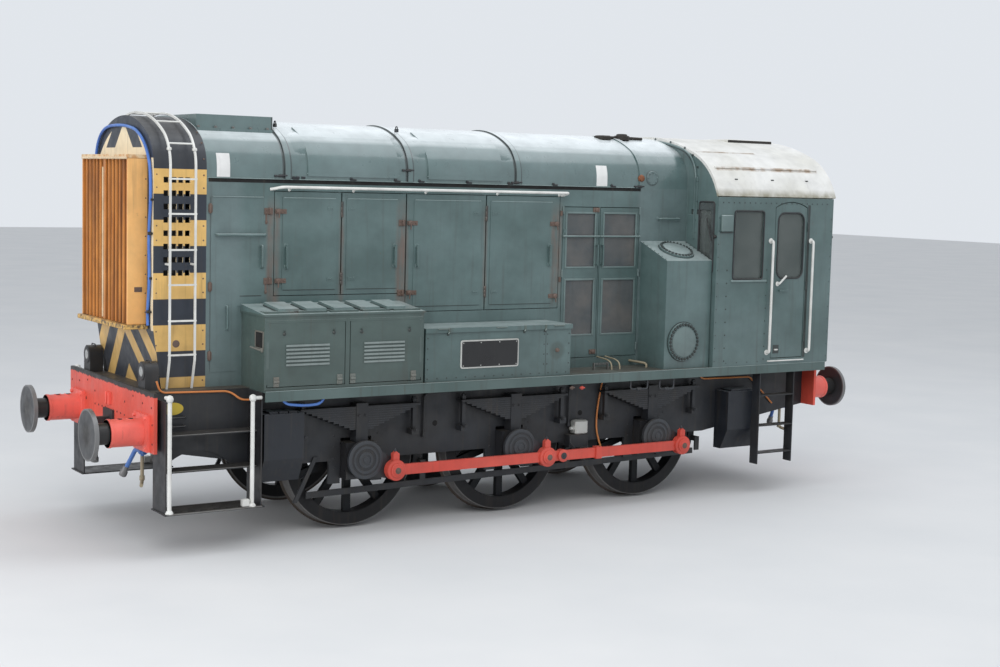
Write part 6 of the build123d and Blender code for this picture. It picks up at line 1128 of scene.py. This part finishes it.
# Buffer beams: bolts, lip, housings' bolts and hand holes, air cocks
for end, sense in (("front", 1), ("rear", -1)):
    face = sense * BEAM_FACE_X
    beam = Kit("beam_bolts_" + end, beam_dark)
    for bolt_y, bolt_z in ((0.11, 1.17), (0.204, 1.17), (0.3, 1.17), (0.402, 1.166), (0.408, 1.29),
            (0.62, 1.37), (0.86, 1.335), (1.08, 1.32), (1.1, 1.17), (1.1, 1.0), (0.52, 0.96), (0.3, 0.96)):
        beam.rivet((face, bolt_y, bolt_z), (sense, 0, 0), 0.0105)
    beam.turned((face - sense * 0.001, 0.66, 1.189), (sense, 0, 0), ((0, 0.016), (0.002, 0.016)), 16)
    housing = Kit("buffer_bolts_" + end, red)
    for step_y in (-0.135, 0.135):
        for step_z in (-0.135, 0.135):
            housing.bolt((face + sense * 0.028, BUFFER_Y + step_y, BUFFER_Z + step_z), (sense, 0, 0),
                0.018, 0.018, 0.3)
    housing.turned((face + sense * 0.298, BUFFER_Y, BUFFER_Z), (sense, 0, 0),
        ((0, 0.1245), (0.004, 0.1285), (0.028, 0.1285), (0.032, 0.1245)), 40)
    for hole_x in (0.115, 0.215):
        path = []
        for step in range(20):
            angle = math.tau * step / 20
            across = 0.045 * math.sin(angle)
            path.append((face + sense * (hole_x + 0.03 * math.cos(angle)), BUFFER_Y + across,
                BUFFER_Z + math.sqrt(0.124 ** 2 - across ** 2)))
        housing.tube(path, 0.005, 0, 8, looped=True)
    housing.box((min(face, face + sense * 0.03), 0.026, 1.212),
        (max(face, face + sense * 0.03), 0.044, 1.33), 0.003)
    # Painted shade in the hand holes.
    holes = Kit("buffer_hand_holes_" + end, hollow_shade)
    for hole_x in (0.115, 0.215):
        holes.turned((face + sense * hole_x, BUFFER_Y, BUFFER_Z + 0.1215), UP,
            ((0, 0.026), (0.003, 0.026)), 16)
    cock = Kit("air_cocks_" + end, hose_blue)
    back = face - sense * 0.06
    cock.turned((back, 0.56, 0.872), OUT, ((0, 0.02), (0.02, 0.022), (0.1, 0.022), (0.11, 0.034),
        (0.16, 0.034), (0.17, 0.022), (0.21, 0.02)), 18)
    cock.turned((back, 0.695, 0.9), DOWN, ((0, 0.018), (0.05, 0.018), (0.055, 0.012), (0.07, 0.012)), 14)
    cock.tube([(back, 0.575, 0.872), (back, 0.52, 0.86), (back + sense * 0.03, 0.47, 0.76),
        (back + sense * 0.06, 0.405, 0.655)], 0.0205, 0.05, 14)
    hose_end = Kit("air_couplings_" + end, head_steel)
    hose_end.turned((back + sense * 0.06, 0.405, 0.655), (sense * 0.2, -0.45, -0.87),
        ((-0.05, 0.025), (-0.046, 0.027), (0.0, 0.027), (0.012, 0.036), (0.05, 0.036), (0.055, 0.022)), 18)
    hose_end.tube([(back, 0.715, 0.872), (back + sense * 0.01, 0.722, 0.9),
        (back + sense * 0.055, 0.735, 0.905)], 0.006, 0.01, 8)
    cream = Kit("drain_pipes_" + end, pipe_cream)
    cream.tube([(back - sense * 0.02, 0.64, 0.905), (back - sense * 0.02, 0.64, 0.6),
        (back + sense * 0.03, 0.755, 0.572)], 0.0165, 0.03, 12)
    cream.disc((back - sense * 0.02, 0.64, 0.64), DOWN, 0.024, 0.04, 0.019, 0.045, 12)
Kit("beam_lip", black, sides="left").box((3.915, -1.12, 1.446), (3.945, 1.12, 1.452), 0.002)

# Front steps: worn tread edges, slots, grab bars; lamps' rims and handles
treads = Kit("tread_edges", steel_worn)
for tread_z in (1.073, 0.75):
    treads.box((2.982, 1.154, tread_z - 0.003), (3.864, 1.163, tread_z + 0.0035), 0.001)
treads.box((2.975, 1.268, 0.39), (3.875, 1.2765, 0.4015), 0.001)
# Painted shade in the tread's slots.
slots = Kit("tread_slots", hollow_shade)
for slot_x in [3.14 + 0.12 * step for step in range(6)]:
    slots.box((slot_x - 0.035, 1.19, 0.3975), (slot_x + 0.035, 1.205, 0.3988), 0.0004)
grabs = Kit("step_grab_bars", black)
for grab_z in (1.205, 1.125):
    grabs.tube([(3.8, 0.948, grab_z), (3.8, 1.01, grab_z), (3.6, 1.01, grab_z), (3.6, 0.948, grab_z)],
        0.01, 0.02)
Kit("step_white_block", white).box((3.088, 1.206, 0.399), (3.158, 1.262, 0.47), 0.008)
lamp = Kit("lamp_rims", black)
lamp_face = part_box("lamps")[1][0]
lamp.turned((lamp_face - 0.006, 0.74, 1.602), AHEAD, ((0, 0.082), (0.01, 0.082), (0.0125, 0.078),
    (0.0125, 0.07)), 28)
lamp.tube([(3.849, 0.69, 1.672), (3.849, 0.69, 1.702), (3.849, 0.79, 1.702), (3.849, 0.79, 1.672)], 0.006,
    0.02, 8)
lamp.box((3.82, 0.7, 1.43), (3.88, 0.78, 1.448))
lens = Kit("lamp_lenses", lens_glass)
lens.turned((lamp_face + 0.001, 0.74, 1.602), AHEAD, ((0, 0.07), (0.003, 0.066), (0.0055, 0.045),
    (0.0065, 0.001)), 28)

# The radiator shutter with its broad folded slats in two leaves
low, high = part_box("radiator_shutter")
back_x, face_x, sill_z, hood_z = low[0], high[0] - 0.04, low[2] + 0.042, high[2] - 0.035
shutter = Kit("shutter_folds", orange, sides="left")
for sense in (-1, 1):
    shutter.box((back_x, min(sense * 0.593, sense * 0.618), sill_z),
        (face_x, max(sense * 0.593, sense * 0.618), hood_z), 0.003)
shutter.box((back_x, -0.618, hood_z), (face_x + 0.008, 0.618, hood_z + 0.035), 0.004)
shutter.box((back_x, -0.638, sill_z - 0.042), (face_x + 0.04, 0.638, sill_z), 0.004)
shutter.box((face_x - 0.06, -0.022, sill_z), (face_x - 0.002, 0.022, hood_z), 0.004)
FOLDS, FOLD_PITCH = 6, 0.0952
for sense in (-1, 1):
    for fold in range(FOLDS):
        start_y = sense * 0.022 + (fold * FOLD_PITCH if sense > 0 else -(fold + 1) * FOLD_PITCH)
        profile = ((0.0, -0.06), (0.0, -0.046), (0.04, -0.026), (0.07, -0.006), (0.078, -0.002),
            (0.084, -0.004), (0.088, -0.012), (0.088, -0.06))
        shutter.loft([[Vector((face_x + depth, start_y + across, z)) for across, depth in profile]
            for z in (sill_z + 0.002, hood_z - 0.002)])
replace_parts(shutter.build(), "radiator_shutter")

# Nose: scalloped top edge, meeting strip, toothed ledge, hose clips, bolts, ladder clamps
scallops = Kit("shutter_scallops", cream_edge, sides="left")
for step in range(44):
    y = -0.602 + 0.028 * step
    scallops.disc((4.004, y, 3.494), AHEAD, 0.013, 0.0095, 0.011, 0.0105, 10)
Kit("shutter_meeting_strip", cream_edge, sides="left").tube([(3.999, -0.04, 3.41), (3.999, -0.04, 2.03)],
    0.01, 0, 8)
teeth = Kit("ledge_teeth", soot_black, finish="yellow_black", sides="left")
for step in range(30):
    y = -0.58 + 0.04 * step
    teeth.disc((3.998, y, 2.004), AHEAD, 0.01, 0.006, 0.006, 0.007, 8)
brown = Kit("shutter_cheek_plates", rusty)
brown.box((3.868, 0.617, 2.302), (3.94, 0.623, 2.346))
brown.box((3.99, -0.616, 3.52), (4.002, -0.604, 3.5245))
for bolt_x in (3.885, 3.923):
    brown.bolt((bolt_x, 0.622, 2.324), radius=0.007, height=0.006)
for z in [2.12 + 0.17 * step for step in range(8)]:
    brown.rivet((3.836, 0.618, z), radius=0.007)
clips = Kit("hose_clips", soot_black)
for clip_y, clip_z in ((0.722, 3.13), (0.713, 2.83), (0.7, 2.43), (0.69, 2.13)):
    clips.turned((3.835, clip_y, clip_z - 0.014), UP, ((0, 0.016), (0.003, 0.0175), (0.025, 0.0175),
        (0.028, 0.016)), 14)
    clips.box((3.816, clip_y + 0.01, clip_z - 0.01), (3.842, clip_y + 0.04, clip_z + 0.01))
nose_bolts = Kit("nose_bolts", rusty, finish="yellow_black")
for band_z in (3.355, 3.24, 2.9, 2.77, 2.425, 2.3, 1.955, 1.83, 1.5):
    nose_bolts.rivet((3.345, 0.7595, band_z), radius=0.0085)
    nose_bolts.rivet((3.788, 0.7595, band_z), radius=0.0075)
nose_bolts.disc((3.6, BONNET_Y, 1.84), OUT, 0.034, 0.004, 0.028, 0.006, 20)
for at in ((3.345, 0.592, 3.742), (3.345, 0.702, 3.645), (3.345, 0.757, 3.5)):
    nose_bolts.rivet(at, (0, at[1], at[2] - 3.42), 0.009)
ladder_bolts = Kit("ladder_rung_ends", white)
for bar_x, sense in ((3.7, 1), (3.462, -1)):
    for rung_z in (3.318, 3.009, 2.689, 2.377, 2.055, 1.749):
        ladder_bolts.disc((bar_x + sense * 0.008, 0.86, rung_z), (sense, 0, 0), 0.011, 0.004, 0.007, 0.006,
            10)
rung_spots = ((0.793, 3.631), (0.4845, 3.83), (0.16, 3.911))
for rung_y, rung_z in rung_spots:
    ladder_bolts.tube([(3.456, rung_y, rung_z), (3.706, rung_y, rung_z)], 0.0085, 0, 10)
for bar_x in (3.7, 3.462):
    ladder_bolts.box((bar_x - 0.018, 0.806, 3.566), (bar_x + 0.018, 0.846, 3.596), 0.006)

# Air hoses over the nose and under the valance, conduits, pipes, cocks and brackets
hoses = Kit("air_hoses", hose_blue, sides="left")
nose_run = ((-0.712, 3.02), (-0.728, 3.3), (-0.722, 3.47), (-0.68, 3.61), (-0.59, 3.715), (-0.45, 3.778),
    (-0.28, 3.796), (-0.024, 3.798), (0.18, 3.782), (0.358, 3.752), (0.49, 3.693), (0.576, 3.631),
    (0.655, 3.55), (0.712, 3.449), (0.738, 3.3), (0.738, 3.11), (0.724, 3.01), (0.708, 2.9),
    (0.698, 2.747), (0.712, 2.535), (0.714, 2.382), (0.69, 2.24), (0.672, 2.127), (0.684, 2.006))
hoses.tube([(3.836, y, z) for y, z in nose_run], 0.0145, 0.09, 12)
hoses.tube([(2.8092, 1.2605, 1.4125), (2.7542, 1.2605, 1.3115), (2.5542, 1.2605, 1.2865),
    (2.3872, 1.2605, 1.2965), (2.3342, 1.2605, 1.4125)], 0.013, 0.09, 12)
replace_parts(hoses.build(), "air_pipes")
wires = Kit("conduit_runs", conduit, sides="left")
for run in (((3.86, 0.965, 1.5365), (3.825, 0.965, 1.4315), (3.166, 0.965, 1.4165), (3.076, 1.025, 1.3365),
        (2.978, 1.025, 1.3365)), ((-1.075, 0.952, 1.4125), (-1.02, 0.952, 1.18), (-0.99, 0.952, 1.0),
        (-0.985, 0.952, 0.8), (-1.03, 0.952, 0.66), (-1.05, 0.952, 0.62)),
        ((-2.351, 0.952, 1.3245), (-2.411, 0.952, 1.2695), (-3.101, 0.952, 1.2595),
        (-3.151, 0.952, 1.2145), (-3.451, 0.952, 0.9445))):
    wires.tube(run, 0.0095, 0.1, 10)
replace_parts(wires.build(), "conduits")
bracket = Kit("frame_box_bracket", black, sides="left")
bracket.box((-0.83, 0.936, 0.64), (-0.59, 1.03, 0.776), 0.006)
bracket.tube([(-0.6, 1.03, 0.76), (-0.58, 1.052, 0.7), (-0.64, 1.056, 0.64)], 0.008, 0.02, 8)
pale_box = Kit("frame_pale_box", plate_border, sides="left")
pale_box.box((-0.815, 0.936, 0.776), (-0.655, 1.046, 0.922), 0.014)
pale_box.turned((-0.655, 1.0, 0.838), AHEAD, ((0, 0.028), (0.01, 0.028), (0.012, 0.018), (0.04, 0.018),
    (0.044, 0.012)), 16)
for cock_name, cock_paint, cock_x, cock_z in (("rusty", rusty, -0.424, 1.307),
        ("red", rod_red, -0.549, 1.301)):
    cocks = Kit("drain_cocks_" + cock_name, cock_paint, finish="signal_red")
    cocks.turned((cock_x, 1.262, cock_z), OUT, ((0, 0.015), (0.012, 0.02), (0.022, 0.018)), 12)
    cocks.tube([(cock_x - 0.03, 1.282, cock_z), (cock_x + 0.03, 1.282, cock_z)], 0.007, 0, 8)
silver = Kit("drain_cocks_silver", edge_grey, finish="bare_steel")
for x0, x1, z in ((-1.191, -1.415, 1.252), (-1.576, -1.765, 1.236)):
    silver.tube([(x0, 1.25, z + 0.09), (x0, 1.25, z), (x1, 1.25, z - 0.006), (x1, 1.25, z + 0.1)], 0.01,
        0.03)
    silver.turned(((x0 + x1) / 2 - 0.03, 1.25, z - 0.003), AHEAD,
        ((0, 0.014), (0.008, 0.019), (0.052, 0.019), (0.06, 0.014)), 12)
    silver.tube([((x0 + x1) / 2, 1.25, z), ((x0 + x1) / 2, 1.285, z), ((x0 + x1) / 2 + 0.05, 1.288, z)],
        0.006, 0.01, 8)
cream = Kit("side_pipes_cream", pipe_cream)
cream.tube([(-1.545, 0.756, 1.486), (-1.545, 0.86, 1.486), (-1.59, 0.975, 1.478), (-1.592, 1.0, 1.46),
    (-1.585, 1.0, 1.428)], 0.0125, 0.03, 12)
for x in (-1.104, -1.209):
    cream.tube([(x, 0.768, 1.545), (x, 0.96, 1.53), (x - 0.004, 1.02, 1.5), (x - 0.004, 1.03, 1.43)],
        0.008, 0.04, 8)
spring = Kit("latch_spring", steel_worn)
spring.tube([(-0.897 - 0.169 * s / 60, 1.0 + 0.014 * math.cos(s * 0.9), 1.495 + 0.014 * math.sin(s * 0.9))
    for s in range(61)], 0.003, 0, 6)
spring.box((-0.897, 0.985, 1.434), (-0.887, 1.015, 1.512))
spring.box((-1.076, 0.985, 1.434), (-1.066, 1.015, 1.512))

# Running gear: caps, nuts and bosses on the crankpins and cranks, rings and pins on the rods, spring leaves
# and nuts, frame rivets, holes and pipes
for side, angle in (("left", 200.5), ("right", 110.5)):
    pin_x, pin_z = CRANK_RADIUS * math.cos(math.radians(angle)), CRANK_RADIUS * math.sin(math.radians(angle))
    eyes = Kit("rod_eye_rings_" + side, rod_red, "rod_" + side, sides=side)
    pins = Kit("rod_pins_" + side, edge_grey, "rod_" + side, sides=side)
    knuckle = Vector((AXLE_X["middle"] + pin_x - 0.19, 1.226, AXLE_Z + pin_z))
    eyes.turned(knuckle, OUT, ((-0.03, 0.064), (0.004, 0.064), (0.008, 0.056)), 28)
    pins.turned(knuckle, OUT, ((0, 0.034), (0.012, 0.034), (0.014, 0.028), (0.014, 0.012), (0.02, 0.01)),
        20)
    for end, axle_x in AXLE_X.items():
        at = Vector((axle_x + pin_x, 1.228, AXLE_Z + pin_z))
        eyes.turned(at, OUT, ((-0.002, 0.097), (0.004, 0.095), (0.006, 0.088)), 32)
        pins.turned(at + Vector((0, -0.035, 0.18)), UP, ((-0.01, 0.012), (0.012, 0.012), (0.016, 0.007),
            (0.028, 0.006)), 12)
        Kit("crankpin_cap_" + end + "_" + side, rod_red, "wheelset_" + end,
            sides=side).turned(at + Vector((0, -0.002, 0)), OUT, ((0, 0.0675), (0.022, 0.0675),
            (0.025, 0.062), (0.025, 0.048), (0.031, 0.046), (0.033, 0.04)), 32)
        Kit("crankpin_nut_" + end + "_" + side, rusty, "wheelset_" + end, finish="wheel_steel",
            sides=side).bolt(at + Vector((0, 0.031, 0)), radius=0.021, height=0.009)
        Kit("crank_boss_" + end + "_" + side, edge_grey, "wheelset_" + end,
            sides=side).turned((axle_x, 1.1485, AXLE_Z), OUT, ((-0.03, 0.184), (0.002, 0.184),
            (0.005, 0.178), (0.005, 0.152), (0.001, 0.15), (0.001, 0.132), (0.006, 0.13), (0.006, 0.108),
            (0.001, 0.106), (0.001, 0.078), (0.007, 0.076), (0.008, 0.05), (0.003, 0.048), (0.003, 0.03),
            (0.008, 0.028), (0.009, 0.012)), 40)
leaves = Kit("spring_leaf_lines", edge_grey, finish="black_underframe")
for axle_x in AXLE_X.values():
    for leaf in range(10):
        half = 0.64 - (0.64 - 0.13) * leaf / 9
        z = 1.215 - 0.022 * (leaf + 1)
        for sense in (-1, 1):
            x0, x1 = sorted((axle_x + sense * 0.068, axle_x + sense * (half - 0.004)))
            leaves.box((x0, 1.054, z + 0.002), (x1, 1.0565, z + 0.007), 0.0008)
springs = Kit("spring_hanger_nuts", black)
for axle_x in AXLE_X.values():
    for sense in (-1, 1):
        hanger_x = axle_x + sense * 0.595
        springs.bolt((hanger_x, 1.0, 1.253), UP, 0.022, 0.024)
        springs.bolt((hanger_x, 1.056, 0.955), radius=0.016, height=0.014)
    springs.bolt((axle_x - 0.035, 1.062, 1.13), radius=0.012, height=0.01)
    springs.bolt((axle_x + 0.035, 1.062, 1.13), radius=0.012, height=0.01)
frame_bolts = Kit("frame_rivets", black)
for axle_x in AXLE_X.values():
    for sense in (-1, 1):
        for row in range(6):
            frame_bolts.rivet((axle_x + sense * 0.235, 0.9365, 0.6 + 0.11 * row), radius=0.011)
for x in [2.6 - 0.28 * step for step in range(22)]:
    frame_bolts.rivet((x, 0.9365, 1.385), radius=0.009)
# Painted shade in the frame's holes.
holes = Kit("frame_holes", hollow_shade)
for x in (0.98, -0.78):
    holes.turned((x, 0.9365, 0.985), OUT, ((0, 0.028), (0.002, 0.028)), 20)
pipe = Kit("frame_pipes", black)
for x in (1.12, -0.62):
    pipe.tube([(x - 0.3, 0.96, 1.3), (x, 0.96, 1.29), (x, 0.96, 0.86)], 0.012, 0.06)
    pipe.disc((x, 0.96, 0.9), DOWN, 0.018, 0.04, 0.013, 0.045, 12)
# Painted highlight along the valance's edge.
Kit("valance_edge", green_light).box((-3.93, 1.288, 1.4325), (2.96, 1.2975, 1.4385), 0.001)

# Floor, light and camera
floor_paint = Paint("floor", rough=0.9)
floor_paint.done(floor_paint.mix(floor_paint.ramp(floor_paint.noise(0.6, 3), 0.3, 0.7), (0.6, 0.605, 0.61),
    (0.64, 0.64, 0.64)))
bpy.ops.mesh.primitive_plane_add(size=160, location=(0, 0, 0))
floor = bpy.context.object
floor.name = "studio_floor"
floor.data.materials.append(floor_paint.material)
floor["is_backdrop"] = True

world = bpy.data.worlds.new("studio")
scene.world = world
world.use_nodes = True
world.node_tree.nodes["Background"].inputs[0].default_value = (0.86, 0.9, 0.95, 1)
world.node_tree.nodes["Background"].inputs[1].default_value = 0.88


def area_light(name, place, target, size, power, colour=(1, 1, 1)):
    data = bpy.data.lights.new(name, "AREA")
    data.shape = "DISK"
    data.size = size
    data.energy = power
    data.color = colour
    light = bpy.data.objects.new(name, data)
    scene.collection.objects.link(light)
    light.location = place
    light.rotation_euler = (Vector(target) - Vector(place)).to_track_quat("-Z", "Y").to_euler()


area_light("key", (9, 14, 13), (0, 0, 1.5), 12, 1100, (1, 0.985, 0.96))
area_light("sky", (-5, 3, 16), (0, 0, 1), 15, 900, (0.93, 0.96, 1))
area_light("nose_fill", (17, 2, 6), (3, 0, 2), 8, 760)

CAMERA_AT = Vector((8.9465, 14.2973, 3.3636))
CAMERA_YAW, CAMERA_PITCH, CAMERA_ROLL = 0.5775, 0.0948, 0.0253
FOCAL_IN_PIXELS, PHOTO_WIDTH, SENSOR = 1594.49, 1000, 36.0
look = Vector((
    -math.sin(CAMERA_YAW) * math.cos(CAMERA_PITCH),
    -math.cos(CAMERA_YAW) * math.cos(CAMERA_PITCH),
    -math.sin(CAMERA_PITCH),
))
right = look.cross(Vector((0, 0, 1))).normalized()
upward = right.cross(look)
right, upward = (
    math.cos(CAMERA_ROLL) * right + math.sin(CAMERA_ROLL) * upward,
    -math.sin(CAMERA_ROLL) * right + math.cos(CAMERA_ROLL) * upward,
)
camera_data = bpy.data.cameras.new("photo_view")
camera_data.sensor_width = SENSOR
camera_data.lens = FOCAL_IN_PIXELS * SENSOR / PHOTO_WIDTH
camera = bpy.data.objects.new("photo_view", camera_data)
scene.collection.objects.link(camera)
camera.matrix_world = Matrix((
    (right.x, upward.x, -look.x, CAMERA_AT.x),
    (right.y, upward.y, -look.y, CAMERA_AT.y),
    (right.z, upward.z, -look.z, CAMERA_AT.z),
    (0, 0, 0, 1),
))
scene.camera = camera
scene.view_settings.view_transform = "Standard"

for kit in list(Kit.waiting):
    kit.build()
low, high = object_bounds()
